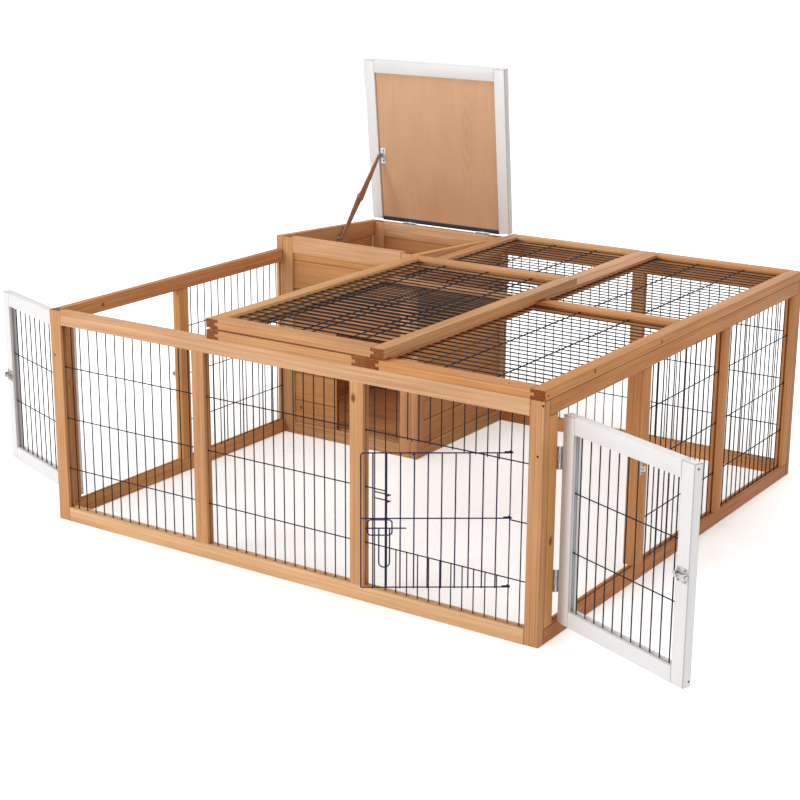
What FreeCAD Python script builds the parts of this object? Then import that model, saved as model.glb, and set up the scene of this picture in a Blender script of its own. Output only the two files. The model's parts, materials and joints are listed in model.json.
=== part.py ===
import FreeCAD
import Part
import Sketcher
import os
import re
from FreeCAD import Rotation, Vector

# A guinea pig hutch: a square mesh run framed in grooved timber, with a boarded shelter box in its
# back left corner, two side doors, a wire door in the front, a folding roof panel and a stayed lid.
# Millimetres, +Z up. The origin is the middle of the front bottom rail's underside, +Y to the back.

# Driving sizes
SIZES = [
    ("run_width", 1160, "outside width along the front wall"),
    ("run_depth", 1160, "outside depth from front wall to back wall"),
    ("wall_height", 455, "height of the mesh walls"),
    ("face", 30, "face width of the frame timber"),
    ("thick", 18.5, "thickness of the frame timber"),
    ("jamb_depth", 28, "depth of the right door's jamb post"),
    ("groove", 5, "width of the groove that holds mesh, boards and tenons"),
    ("groove_depth", 8, "depth of that groove and length of a stub tenon"),
    ("joint_fit", 0.1, "clearance of a tenon in its groove, each way"),
    ("wire", 2.2, "diameter of the mesh wire"),
    ("wire_pitch", 24, "spacing of the close wires"),
    ("wire_seat", 6, "reach of the wire ends into the groove"),
    ("cross_pitch", 110, "spacing of the cross wires"),
    ("cross_first", 115, "height of the lowest cross wire in a wall"),
    ("cross_rows", 3, "cross wires in a wall"),
    ("door_opening", 332, "clear width of a side door's opening"),
    ("door_gap", 3.5, "gap round a closed side door"),
    ("right_door_angle", 112, "angle at which the right door stands open"),
    ("left_door_angle", 70, "angle at which the left door stands open"),
    ("leaf", 1.2, "thickness of hinge leaves and latch plates"),
    ("leaf_width", 14, "width of a hinge leaf"),
    ("door_hinge", 42, "height of a door hinge"),
    ("hinge_spread", 229, "distance between the two hinges of a door"),
    ("pin_out", 4, "distance of a door hinge pin outside the wall's face"),
    ("pin_radius", 1.25, "radius of a hinge pin"),
    ("pin_fit", 0.05, "radial clearance of a hinge pin in its bore"),
    ("knuckle", 2.1, "outer radius of a hinge knuckle"),
    ("running_gap", 0.3, "clearance between pieces that slide or turn past each other"),
    ("latch_height", 230, "height of the door latches"),
    ("latch_inset", 15, "distance of a latch's middle from the door's free edge"),
    ("latch_width", 24, "width of a latch plate"),
    ("latch_tall", 26, "height of a latch plate"),
    ("bolt_radius", 2.5, "radius of a latch bolt"),
    ("bolt_travel", 10, "travel of a latch bolt"),
    ("guide_wide", 3, "width of a latch bolt's guide"),
    ("guide_tall", 11, "height of a latch bolt's guide"),
    ("knob_radius", 2.2, "radius of a latch bolt's knob"),
    ("knob_long", 7, "length of a latch bolt's knob"),
    ("wire_door_gap", 3, "distance of the wire door's free edge from the fixed wire beside it"),
    ("wire_door_tall", 250, "height of the wire door"),
    ("wire_door_mid", 129.5, "height of the wire door's middle wire over its bottom wire"),
    ("wire_door_over", 15, "overlap of the wire door below its opening"),
    ("wire_door_angle", 35, "angle at which the wire door stands open"),
    ("wire_door_corner", 5, "bend radius of the wire door's top corner"),
    ("slide_wire", 2.2, "diameter of the wire door's bolt"),
    ("slide_long", 72, "length of the wire door's bolt"),
    ("slide_set", 7.5, "distance of the resting bolt's end from the door's free edge"),
    ("slide_drop", 16.5, "drop of the bolt below the door's middle wire"),
    ("pull_wide", 19, "width of the bolt's pull loop"),
    ("pull_long", 73, "length of the bolt's pull loop"),
    ("pull_set", 41, "distance of the pull loop's middle from the door's free edge"),
    ("keeper_wide", 43, "width of the keeper loop that guides the bolt"),
    ("keeper_tall", 28.5, "height of the keeper loop"),
    ("keeper_set", 33, "distance of the keeper's middle from the door's free edge"),
    ("keeper_bend", 4, "size of the bend at the keeper's corners"),
    ("hook_gap", 12, "distance between the two catch wires of the wire door"),
    ("hook_reach", 6.6, "length of a catch wire's bent end"),
    ("mesh_slip", 3, "distance by which the wire door's bay of mesh sits off centre"),
    ("box_width", 405, "outside width of the shelter box"),
    ("box_depth", 403, "outside depth of the shelter box"),
    ("box_front_height", 487, "height of the box at its front"),
    ("box_fall", 23, "fall of the box's top from its front to its back"),
    ("box_back_rail", 36, "width of the box's back top rail"),
    ("box_front_rail", 37, "width of the box's front top rail"),
    ("doorway_width", 184.5, "width of the doorway in the box's front"),
    ("doorway_top", 271, "height of the top of the doorway"),
    ("board", 9, "thickness of a wall board"),
    ("board_cover", 69, "height that one wall board covers"),
    ("board_first", 86, "height of the lowest joint between wall boards"),
    ("board_seat", 6, "reach of the boards into the groove round them"),
    ("board_vee", 2, "depth of the vee between two boards"),
    ("tongue", 4, "length of a board's tongue"),
    ("tongue_thick", 3, "thickness of a board's tongue"),
    ("floor_top", 20, "height of the box's floor"),
    ("fold_width", 413, "width of the folding roof panel"),
    ("fold_depth", 724, "depth of the folding roof panel"),
    ("fold_gap", 3.5, "gap between the folded panel and the panel under it"),
    ("roof_seam", 3, "gap beside the folding roof panel when it is unfolded"),
    ("fold_hinge", 60, "length of a hinge of the folding panel"),
    ("fold_hinge_inset", 145, "distance of those hinges from the folding panel's ends"),
    ("lid_length", 405, "length of the lid from its hinge edge to its free edge"),
    ("lid_angle", 80.7, "angle at which the lid stands open"),
    ("lid_gap", 1.6, "gap between the closed lid and the box's top"),
    ("lid_panel_set", 5, "depth of the lid's panel below the inner face of its frame"),
    ("lid_panel_thick", 5, "thickness of the lid's panel"),
    ("lid_strip_wide", 7, "width of the strip along the lid's hinge edge"),
    ("lid_strip_thick", 3, "thickness of that strip"),
    ("lid_hinge", 36.5, "length of a lid hinge"),
    ("lid_hinge_inset", 115, "distance of the first lid hinge from the box's left side"),
    ("lid_hinge_spread", 215.5, "distance between the lid hinges"),
    ("stay_y", 175, "distance of the stay's wall pivot in front of the box's back wall"),
    ("stay_z", 445, "height of the stay's wall pivot"),
    ("stay_lower", 122, "length of the stay's lower arm between pivots"),
    ("stay_reach", 167, "distance of the stay's lid pivot from the lid's hinge"),
    ("stay_lift", 4, "height of the stay's lid pivot over the inner face of the lid's frame"),
    ("stay_thick", 2.5, "thickness of a stay arm"),
    ("stay_wide_end", 11, "half width of a stay arm at the elbow"),
    ("stay_narrow_end", 4.5, "half width of a stay arm at its outer pivot"),
    ("stay_pin", 2, "radius of the stay's pivot pins"),
    ("rivet_radius", 6, "radius of the elbow rivet's head"),
    ("rivet_high", 4, "height of the elbow rivet's head"),
    ("plate_long", 40, "length of the stay's lid plate"),
    ("plate_wide", 15, "width of the stay's two plates"),
    ("plate_tall", 24, "height of the stay's wall plate"),
    ("brace_leg", 60, "leg of the corner brace plate"),
    ("brace_thick", 1.5, "thickness of the corner brace plate"),
    ("brace_drop", 12, "distance of the corner brace plate below the wall's top"),
]

doc = FreeCAD.newDocument("guinea_pig_hutch")
sheet = doc.addObject("Spreadsheet::Sheet", "Sizes")
for row, (alias, size, note) in enumerate(SIZES, 1):
    sheet.set(f"A{row}", note)
    sheet.set(f"B{row}", str(size))
    sheet.setAlias(f"B{row}", alias)
doc.recompute()

ALIASES = re.compile(r"\b(" + "|".join(alias for alias, size, note in SIZES) + r")\b")
UNIT = {"x": Vector(1, 0, 0), "y": Vector(0, 1, 0), "z": Vector(0, 0, 1)}
ORDER = "xyz"
nodes = {}


def formula(text):
    """An expression in the sheet's own names, from a formula written with bare aliases."""
    return ALIASES.sub(r"Sizes.\1", str(text))


def bind(piece, name, text):
    piece.setExpression(name, formula(text))


def value(text):
    return float(sheet.evalExpression(formula(text)))


def place(piece, corner, rotation=Rotation()):
    """Fixed rotation, and a base point bound to the sheet; corner maps each axis to a formula."""
    piece.Placement = FreeCAD.Placement(Vector(), rotation)
    for axis in ORDER:
        bind(piece, f"Placement.Base.{axis}", corner[axis])


def along_axis(axis, layer):
    """Rotation that lays a piece's own Z along an axis and its own Y along the layer direction."""
    return Rotation(UNIT[layer].cross(UNIT[axis]), UNIT[layer], UNIT[axis], "ZYX")


def box(size, corner):
    block = doc.addObject("Part::Box", "Block")
    bind(block, "Length", size["x"])
    bind(block, "Width", size["y"])
    bind(block, "Height", size["z"])
    place(block, corner)
    return block


def middle_box(size, middle):
    return box(size, {axis: f"({middle[axis]}) - ({size[axis]}) / 2" for axis in ORDER})


def rod(axis, middle, radius, length):
    """A round bar centred on a point."""
    bar = doc.addObject("Part::Cylinder", "Rod")
    bind(bar, "Radius", radius)
    bind(bar, "Height", length)
    start = dict(middle)
    start[axis] = f"({middle[axis]}) - ({length}) / 2"
    layer = ORDER[ORDER.index(axis) - 1]
    place(bar, start, along_axis(axis, layer))
    return bar


def barrel(axis, middle, radius, length):
    """An eight-sided bar centred on a point, for small turned pieces that repeat."""
    bar = doc.addObject("Part::Prism", "Barrel")
    bar.Polygon = 8
    bind(bar, "Circumradius", radius)
    bind(bar, "Height", length)
    start = dict(middle)
    start[axis] = f"({middle[axis]}) - ({length}) / 2"
    layer = ORDER[ORDER.index(axis) - 1]
    place(bar, start, along_axis(axis, layer))
    return bar


def bore(axis, middle, radius, length):
    """The cutter for an eight-sided hole whose flats lie a radius from its axis."""
    return barrel(axis, middle, f"({radius}) / cos(22.5)", length)


def cut(base, tool):
    result = doc.addObject("Part::Cut", "Cut")
    result.Base = base
    result.Tool = tool
    result.Refine = True
    return result


def fuse(*pieces):
    result = doc.addObject("Part::MultiFuse", "Joined")
    result.Shapes = list(pieces)
    result.Refine = True
    return result


def profile(outline, length, corner, rotation):
    """A body padded from a closed outline of bound points, in the body's own XY plane."""
    body = doc.addObject("PartDesign::Body", "Profile")
    sketch = body.newObject("Sketcher::SketchObject", "Outline")
    plane = next(item for item in body.Origin.OriginFeatures if item.Role == "XY_Plane")
    sketch.AttachmentSupport = [(plane, "")]
    sketch.MapMode = "FlatFace"
    points = [Vector(value(across), value(up), 0) for across, up in outline]
    for number, point in enumerate(points):
        following = points[(number + 1) % len(points)]
        sketch.addGeometry(Part.LineSegment(point, following))
    for number, (across, up) in enumerate(outline):
        before = (number - 1) % len(points)
        sketch.addConstraint(Sketcher.Constraint("Coincident", before, 2, number, 1))
        for kind, text in (("X", across), ("Y", up)):
            datum = sketch.addConstraint(
                Sketcher.Constraint(f"Distance{kind}", -1, 1, number, 1, value(text)))
            sketch.renameConstraint(datum, f"{kind.lower()}{number}")
            bind(sketch, f"Constraints.{kind.lower()}{number}", text)
    pad = body.newObject("PartDesign::Pad", "Pad")
    pad.Profile = sketch
    bind(pad, "Length", length)
    place(body, corner, rotation)
    return body


def sub_part(label, pieces, turn=None):
    """A named piece or group of like pieces; turn is a pivot, an axis and an angle."""
    if len(pieces) == 1 and turn is None:
        node = pieces[0]
    else:
        node = doc.addObject("Part::Compound", "Group")
        node.Links = pieces
    if turn is not None:
        pivot, axis, angle = turn
        way = "; ".join(str(part) for part in UNIT[axis])
        centre = "; ".join(formula(pivot[name]) for name in ORDER)
        node.setExpression("Placement", f"placement(vector(0; 0; 0); rotation(vector({way}); "
                                        f"{formula(angle)}); vector({centre}))")
    node.Label = label
    nodes[label] = node
    return node


# Places that several pieces share
LEFT = "(-run_width / 2)"
RIGHT = "(run_width / 2)"
FRONT = "(-thick / 2)"
BACK = "(run_depth - thick / 2)"
SIDE_FRONT = "(thick / 2)"
SIDE_BACK = f"({BACK} - thick)"
TOP_RAIL = "(wall_height - face)"
BOX_FRONT = f"({BACK} - box_depth)"
BOX_RIGHT = f"({LEFT} + box_width)"
CLEAR_HEIGHT = "(wall_height - 2 * face)"
BOX_BACK_HEIGHT = "(box_front_height - box_fall)"
BOX_RAIL_LOW = f"({BOX_BACK_HEIGHT} - box_back_rail)"


def timber(axis, layer, corner, length, grooves="", tenons="",
           width="face", depth="thick", plane="thick / 2", slot="groove"):
    """A straight frame timber, grooved on its edges and stub-tenoned on its ends.

    axis is its length and layer its thickness; grooves and tenons name the low (-) and high (+)
    edges and ends that have one; plane is the depth of the groove's middle from the corner, and
    slot the groove's width.
    """
    edge = next(name for name in ORDER if name not in (axis, layer))
    size = {axis: length, layer: depth, edge: width}
    piece = box(size, corner)
    for side in grooves:
        channel = {axis: length, layer: slot, edge: "groove_depth"}
        start = dict(corner)
        start[layer] = f"{corner[layer]} + {plane} - {slot} / 2"
        if side == "+":
            start[edge] = f"{corner[edge]} + {width} - groove_depth"
        piece = cut(piece, box(channel, start))
    stubs = []
    for end in tenons:
        stub = {axis: "groove_depth - joint_fit", layer: f"{slot} - 2 * joint_fit",
                edge: f"{width} - {len(grooves)} * groove_depth"}
        start = dict(corner)
        if "-" in grooves:
            start[edge] = f"{corner[edge]} + groove_depth"
        start[layer] = f"{corner[layer]} + {plane} - {slot} / 2 + joint_fit"
        start[axis] = f"{corner[axis]} - groove_depth + joint_fit"
        if end == "+":
            start[axis] = f"{corner[axis]} + {length}"
        stubs.append(box(stub, start))
    return fuse(piece, *stubs) if stubs else piece


def wire_rod(axis, layer, start, length, gauge="wire"):
    """A six-sided wire whose flats face along the layer direction."""
    bar = doc.addObject("Part::Prism", "Wire")
    bar.Polygon = 6
    bind(bar, "Circumradius", f"{gauge} / 2 / cos(30)")
    bind(bar, "Height", length)
    place(bar, start, along_axis(axis, layer))
    return bar


def wire_count(span):
    return int(value(f"({span}) / wire_pitch"))


def first_wire(low, span):
    return f"({low} + ({span} - {wire_count(span) - 1} * wire_pitch) / 2)"


def mesh_bay(repeat, axis, layer, low, span, crosses):
    """Close wires along axis, repeated across the bay and welded to cross wires in the next layer.

    low gives the clear opening's low corner, and the mesh's middle plane; span gives its size.
    """
    wires = []
    first = first_wire(low[repeat], span[repeat])
    for number in range(wire_count(span[repeat])):
        start = {repeat: f"{first} + {number} * wire_pitch",
                 axis: f"{low[axis]} - wire_seat",
                 layer: f"{low[layer]} + wire / 2"}
        wires.append(wire_rod(axis, layer, start, f"{span[axis]} + 2 * wire_seat"))
    for place_along in crosses:
        start = {repeat: f"{low[repeat]} - wire_seat",
                 axis: place_along,
                 layer: f"{low[layer]} - wire / 2"}
        wires.append(wire_rod(repeat, layer, start, f"{span[repeat]} + 2 * wire_seat"))
    return wires


def wall_crosses():
    return [f"cross_first + {row} * cross_pitch" for row in range(int(value("cross_rows")))]


def centred_crosses(low, span):
    """Cross wires one cross_pitch apart about the middle of an opening."""
    rows = int(value(f"{span} / cross_pitch"))
    return [f"{low} + {span} / 2 + {row - (rows - 1) / 2} * cross_pitch" for row in range(rows)]


# Front wall
bay = "((run_width - 4 * face) / 3)"
post_places = [f"{LEFT} + face + {bay}", f"{RIGHT} - 2 * face - {bay}"]
rail_length = "run_width - 2 * face"

sub_part("front_corner_posts", [
    timber("z", "y", {"x": LEFT, "y": FRONT, "z": "0"}, "wall_height", grooves="+"),
    timber("z", "y", {"x": f"{RIGHT} - face", "y": FRONT, "z": "0"}, "wall_height", grooves="-")])
sub_part("front_mid_posts", [
    timber("z", "y", {"x": post, "y": FRONT, "z": "face"}, CLEAR_HEIGHT, grooves="-+", tenons="-+")
    for post in post_places])
sub_part("front_bottom_rail", [
    timber("x", "y", {"x": f"{LEFT} + face", "y": FRONT, "z": "0"}, rail_length, "+", "-+")])
sub_part("front_top_rail", [
    timber("x", "y", {"x": f"{LEFT} + face", "y": FRONT, "z": TOP_RAIL}, rail_length, "-", "-+")])

front_bays = [f"({LEFT} + face)", f"({post_places[0]} + face)", f"({post_places[1]} + face)"]
sub_part("front_wall_mesh", [
    wire
    for start in front_bays[:2]
    for wire in mesh_bay("x", "z", "y", {"x": start, "y": "0", "z": "face"},
                         {"x": bay, "z": CLEAR_HEIGHT}, wall_crosses())])

# The third front bay: mesh with an opening for the wire door, and the door's two catch wires
bay_wires = wire_count(bay)
bay_first = f"({first_wire(front_bays[2], bay)} + mesh_slip)"
hinge_wire = bay_wires - 2
jamb_wire = 1
rows = wall_crosses()
opening_low = f"({rows[0]})"
opening_high = f"({rows[-1]})"
upright_y = "(-wire / 2)"
cross_y = "(wire / 2)"
door_bay = []
for number in range(bay_wires):
    across = f"{bay_first} + {number} * wire_pitch"
    if jamb_wire < number < hinge_wire:
        lengths = [("face - wire_seat", f"{opening_low} - face + wire_seat + wire"),
                   (f"{opening_high} - wire", f"{TOP_RAIL} - {opening_high} + wire_seat + wire")]
    else:
        lengths = [("face - wire_seat", f"{CLEAR_HEIGHT} + 2 * wire_seat")]
    for low, length in lengths:
        start = {"x": across, "y": upright_y, "z": low}
        if number == hinge_wire:
            door_bay.append(rod("z", dict(start, z="wall_height / 2"), "wire / 2", length))
        else:
            door_bay.append(wire_rod("z", "y", start, length))
for row in (rows[0], rows[-1]):
    start = {"x": f"{front_bays[2]} - wire_seat", "y": cross_y, "z": row}
    door_bay.append(wire_rod("x", "y", start, f"{bay} + 2 * wire_seat"))
jamb_x = f"({bay_first} + {jamb_wire} * wire_pitch)"
hinge_x = f"({bay_first} + {hinge_wire} * wire_pitch)"
for row in rows[1:-1]:
    left_stub = {"x": f"{front_bays[2]} - wire_seat", "y": cross_y, "z": row}
    door_bay.append(wire_rod("x", "y", left_stub, f"{jamb_x} - {front_bays[2]} + wire_seat + wire"))
    right_stub = {"x": f"{hinge_x} - wire", "y": cross_y, "z": row}
    right_reach = f"{front_bays[2]} + {bay} - {hinge_x} + wire_seat + wire"
    door_bay.append(wire_rod("x", "y", right_stub, right_reach))

DOOR_LOW = f"({opening_low} - wire_door_over)"
DOOR_MIDDLE = f"({DOOR_LOW} + wire_door_mid)"
free_edge = f"({jamb_x} + wire_door_gap)"
wire_door_width = f"({hinge_x} - {free_edge})"
hook_x = f"({free_edge} + slide_set - wire)"
for side in (-1, 1):
    hook_z = f"{DOOR_MIDDLE} - slide_drop + {side} * hook_gap / 2"
    level = {"x": f"{jamb_x} - wire_pitch - wire", "y": cross_y, "z": hook_z}
    arm = wire_rod("x", "y", level, f"{hook_x} - {jamb_x} + wire_pitch + 2 * wire")
    bent = {"x": hook_x, "y": "-hook_reach", "z": hook_z}
    door_bay.append(fuse(arm, wire_rod("y", "z", bent, f"hook_reach + {cross_y}")))
sub_part("door_bay_mesh", door_bay)

# Right wall, between the front and back walls
side_length = f"({SIDE_BACK} - {SIDE_FRONT})"
right_inner = f"({RIGHT} - thick)"
jamb_y = f"({SIDE_FRONT} + face + door_opening)"
side_stile_back = f"({SIDE_BACK} - face)"
side_bay = f"(({side_stile_back} - {jamb_y} - 2 * face) / 2)"
side_mid = f"({jamb_y} + face + {side_bay})"

sub_part("right_bottom_rail", [
    timber("y", "x", {"x": right_inner, "y": SIDE_FRONT, "z": "0"}, side_length, "+")])
sub_part("right_top_rail", [
    timber("y", "x", {"x": right_inner, "y": SIDE_FRONT, "z": TOP_RAIL}, side_length, "-")])
sub_part("right_wall_posts", [
    timber("z", "x", {"x": right_inner, "y": SIDE_FRONT, "z": "face"}, CLEAR_HEIGHT, "", "-+"),
    timber("z", "x", {"x": right_inner, "y": side_mid, "z": "face"}, CLEAR_HEIGHT, "-+", "-+"),
    timber("z", "x", {"x": right_inner, "y": side_stile_back, "z": "face"}, CLEAR_HEIGHT, "-", "-+")])
sub_part("right_jamb_post", [
    timber("z", "x", {"x": f"{RIGHT} - jamb_depth", "y": jamb_y, "z": "face"}, CLEAR_HEIGHT, "+", "-+",
           depth="jamb_depth", plane="jamb_depth - thick / 2")])
sub_part("right_wall_mesh", [
    wire
    for start in (f"{jamb_y} + face", f"{side_mid} + face")
    for wire in mesh_bay("y", "z", "x", {"x": f"({RIGHT} - thick / 2)", "y": start, "z": "face"},
                         {"y": side_bay, "z": CLEAR_HEIGHT}, wall_crosses())])

# Left wall, from the front wall to the shelter box
left_length = f"({BOX_FRONT} - {SIDE_FRONT})"
left_bay = f"({BOX_FRONT} - {jamb_y} - face)"
sub_part("left_bottom_rail", [
    timber("y", "x", {"x": LEFT, "y": SIDE_FRONT, "z": "0"}, left_length, "+")])
sub_part("left_top_rail", [
    timber("y", "x", {"x": LEFT, "y": SIDE_FRONT, "z": TOP_RAIL}, left_length, "-")])
sub_part("left_wall_posts", [
    timber("z", "x", {"x": LEFT, "y": SIDE_FRONT, "z": "face"}, CLEAR_HEIGHT, "", "-+"),
    timber("z", "x", {"x": LEFT, "y": jamb_y, "z": "face"}, CLEAR_HEIGHT, "+", "-+")])
sub_part("left_wall_mesh", mesh_bay(
    "y", "z", "x", {"x": f"({LEFT} + thick / 2)", "y": f"{jamb_y} + face", "z": "face"},
    {"y": left_bay, "z": CLEAR_HEIGHT}, wall_crosses()))

# Back wall, from the shelter box to the right corner
back_inner = f"({BACK} - thick)"
back_length = f"({RIGHT} - face - {BOX_RIGHT})"
back_bay = f"(({back_length} - face) / 2)"
back_mid = f"({BOX_RIGHT} + {back_bay})"
sub_part("back_wall_posts", [
    timber("z", "y", {"x": f"{RIGHT} - face", "y": back_inner, "z": "0"}, "wall_height", "-"),
    timber("z", "y", {"x": back_mid, "y": back_inner, "z": "face"}, CLEAR_HEIGHT, "-+", "-+")])
sub_part("back_bottom_rail", [
    timber("x", "y", {"x": BOX_RIGHT, "y": back_inner, "z": "0"}, back_length, "+", "+")])
sub_part("back_top_rail", [
    timber("x", "y", {"x": BOX_RIGHT, "y": back_inner, "z": TOP_RAIL}, back_length, "-", "+")])
sub_part("back_wall_mesh", [
    wire
    for start in (BOX_RIGHT, f"{back_mid} + face")
    for wire in mesh_bay("x", "z", "y", {"x": start, "y": f"({BACK} - thick / 2)", "z": "face"},
                         {"x": back_bay, "z": CLEAR_HEIGHT}, wall_crosses())])

# Triangular plate that braces the back right corner
sub_part("corner_plate", [
    profile([("0", "0"), ("brace_leg", "0"), ("0", "brace_leg")], "brace_thick",
            {"x": right_inner, "y": SIDE_BACK, "z": "wall_height - brace_drop - brace_thick"},
            Rotation(UNIT["z"], 180))])

# Shelter box: framed walls with tongued boards in wider grooves
BOARD_SLOT = "(board + 2 * joint_fit)"
TO_SIDE = Rotation(UNIT["y"], UNIT["z"], UNIT["x"], "ZYX")
TO_BACK = Rotation(-UNIT["x"], UNIT["z"], UNIT["y"], "ZYX")
box_inner = f"({LEFT} + thick)"
box_inner_right = f"({BOX_RIGHT} - thick)"
box_cross = f"({box_inner_right} - {box_inner} - 2 * face)"
box_side = "(box_depth - 2 * face)"
side_walls = [LEFT, box_inner_right]
cross_walls = [BOX_FRONT, back_inner]


def box_timber(axis, layer, corner, length, grooves, tenons="", width="face"):
    return timber(axis, layer, corner, length, grooves, tenons, width=width, slot=BOARD_SLOT)


def side_stile(x, y, groove):
    return box_timber("z", "x", {"x": x, "y": y, "z": "0"}, BOX_RAIL_LOW, groove, "+")


def mesh_slot(axis, corner):
    """The cutter for a groove that takes the ends of the run's mesh."""
    size = {"x": "groove", "y": "groove", "z": "wall_height"}
    size[axis] = "groove_depth"
    return box(size, corner)


left_front = cut(side_stile(LEFT, BOX_FRONT, "+"), mesh_slot(
    "y", {"x": f"{LEFT} + thick / 2 - groove / 2", "y": BOX_FRONT, "z": "0"}))
right_back = cut(side_stile(box_inner_right, f"{BACK} - face", "-"), mesh_slot(
    "x", {"x": f"{BOX_RIGHT} - groove_depth", "y": f"{BACK} - thick / 2 - groove / 2", "z": "0"}))
stiles = [left_front, side_stile(LEFT, f"{BACK} - face", "-"),
          side_stile(box_inner_right, BOX_FRONT, "+"), right_back]
for wall, height in zip(cross_walls, ("box_front_height", BOX_BACK_HEIGHT)):
    for x, groove in ((box_inner, "+"), (f"{box_inner_right} - face", "-")):
        stiles.append(box_timber("z", "y", {"x": x, "y": wall, "z": "0"}, height, groove))
sub_part("box_stiles", stiles)

bottom_rails = []
for wall in side_walls:
    start = {"x": wall, "y": f"{BOX_FRONT} + face", "z": "0"}
    bottom_rails.append(box_timber("y", "x", start, box_side, "+", "-+"))
for wall in cross_walls:
    start = {"x": f"{box_inner} + face", "y": wall, "z": "0"}
    bottom_rails.append(box_timber("x", "y", start, box_cross, "+", "-+"))
sub_part("box_bottom_rails", bottom_rails)

front_rail_low = "(box_front_height - box_front_rail)"
sub_part("box_cross_rails", [
    box_timber("x", "y", {"x": f"{box_inner} + face", "y": BOX_FRONT, "z": front_rail_low},
               box_cross, "-", "-+", "box_front_rail"),
    box_timber("x", "y", {"x": f"{box_inner} + face", "y": back_inner, "z": BOX_RAIL_LOW},
               box_cross, "-", "-+", "box_back_rail")])

# The side walls' top rails are ripped to the fall of the lid
wedge = [("0", "0"), ("box_depth", "0"), ("box_depth", "box_back_rail"), ("0", "box_back_rail + box_fall")]
sloped_rails = []
for wall in side_walls:
    rail = profile(wedge, "thick", {"x": wall, "y": BOX_FRONT, "z": BOX_RAIL_LOW}, TO_SIDE)
    channel = box({"x": BOARD_SLOT, "y": "box_depth", "z": "groove_depth"},
                  {"x": f"{wall} + thick / 2 - {BOARD_SLOT} / 2", "y": BOX_FRONT, "z": BOX_RAIL_LOW})
    sloped_rails.append(cut(rail, channel))
sub_part("box_sloped_rails", sloped_rails)


def board_outline(height, grooved, tongued):
    """Section of a board: thickness across, cover upwards, with vees on both faces of each joint."""
    low_cheek = "(board - tongue_thick) / 2"
    high_cheek = "(board + tongue_thick) / 2"
    bottom = [("0", "0"), ("board", "0")]
    if grooved:
        bottom = [("0", "board_vee"), ("board_vee", "0"),
                  (f"{low_cheek} - joint_fit", "0"), (f"{low_cheek} - joint_fit", "tongue + joint_fit"),
                  (f"{high_cheek} + joint_fit", "tongue + joint_fit"), (f"{high_cheek} + joint_fit", "0"),
                  ("board - board_vee", "0"), ("board", "board_vee")]
    top = [("board", height), ("0", height)]
    if tongued:
        top = [("board", f"{height} - board_vee"), ("board - board_vee", height),
               (high_cheek, height), (high_cheek, f"{height} + tongue"),
               (low_cheek, f"{height} + tongue"), (low_cheek, height),
               ("board_vee", height), ("0", f"{height} - board_vee")]
    return bottom + top


def wall_joints(top):
    """Heights of the board joints that lie clear below the top of a wall."""
    number = int(value(f"({top} - tongue - board_first) / board_cover")) + 1
    return [f"(board_first + {step} * board_cover)" for step in range(number)]


def wall_boards(top, length, corner, rotation):
    """Boards from the bottom rail's groove to the one above the wall's top, split at the joints."""
    edges = ["(face - board_seat)"] + wall_joints(top) + [f"({top} + board_seat)"]
    made = []
    for number in range(len(edges) - 1):
        low, high = edges[number], edges[number + 1]
        outline = board_outline(f"({high} - {low})", number > 0, number < len(edges) - 2)
        made.append(profile(outline, length, dict(corner, z=low), rotation))
    return made


cross_length = f"{box_cross} + 2 * board_seat"
cross_start = f"{box_inner} + face - board_seat"
side_board_length = f"{box_side} + 2 * board_seat"
doorway = {"x": f"{box_inner_right} - face - doorway_width", "y": BOX_FRONT, "z": "0"}
doorway_size = {"x": "doorway_width + groove_depth", "y": "thick", "z": "doorway_top"}
front_boards = wall_boards(front_rail_low, cross_length,
                           {"x": cross_start, "y": f"{BOX_FRONT} + thick / 2 - board / 2"}, TO_SIDE)
doorway_boards = int(value("(doorway_top - board_first) / board_cover")) + 2
sub_part("box_front_boards", [
    cut(plank, box(doorway_size, doorway)) if number < doorway_boards else plank
    for number, plank in enumerate(front_boards)])
sub_part("box_back_boards", wall_boards(
    BOX_RAIL_LOW, cross_length,
    {"x": cross_start, "y": f"{back_inner} + thick / 2 - board / 2"}, TO_SIDE))
for label, wall in (("box_left_boards", LEFT), ("box_right_boards", box_inner_right)):
    sub_part(label, wall_boards(
        BOX_RAIL_LOW, side_board_length,
        {"x": f"{wall} + thick / 2 + board / 2", "y": f"{BOX_FRONT} + face - board_seat"}, TO_BACK))

floor_front = f"({BOX_FRONT} + thick)"
floor_depth = f"({back_inner} - {floor_front})"
floor_rows = int(value(f"{floor_depth} / board_cover"))
floor_row = f"({floor_depth} / {floor_rows})"
sub_part("box_floor", [
    box({"x": f"{box_inner_right} - {box_inner}", "y": f"{floor_row} - joint_fit", "z": "board"},
        {"x": box_inner, "y": f"{floor_front} + {row} * {floor_row}", "z": "floor_top - board"})
    for row in range(floor_rows)])

# Roof panels: two fixed ones, and a folding one that lies folded back over the middle panel
panel_width = "((run_width - fold_width - roof_seam) / 2)"
middle_panel = f"({LEFT} + fold_width + roof_seam)"
FOLD_BASE = "(wall_height + thick + fold_gap)"


def roof_frame(x, z, width, depth, bars):
    """Two full stiles and the rails between them; bars are the rails' places from the front."""
    frame = [timber("y", "z", {"x": x, "y": FRONT, "z": z}, depth, "+"),
             timber("y", "z", {"x": f"{x} + {width} - face", "y": FRONT, "z": z}, depth, "-")]
    for number, bar in enumerate(bars):
        grooves = "-+"
        if number == 0:
            grooves = "+"
        elif number == len(bars) - 1:
            grooves = "-"
        start = {"x": f"{x} + face", "y": f"{FRONT} + {bar}", "z": z}
        frame.append(timber("x", "z", start, f"{width} - 2 * face", grooves, "-+"))
    return frame


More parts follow.
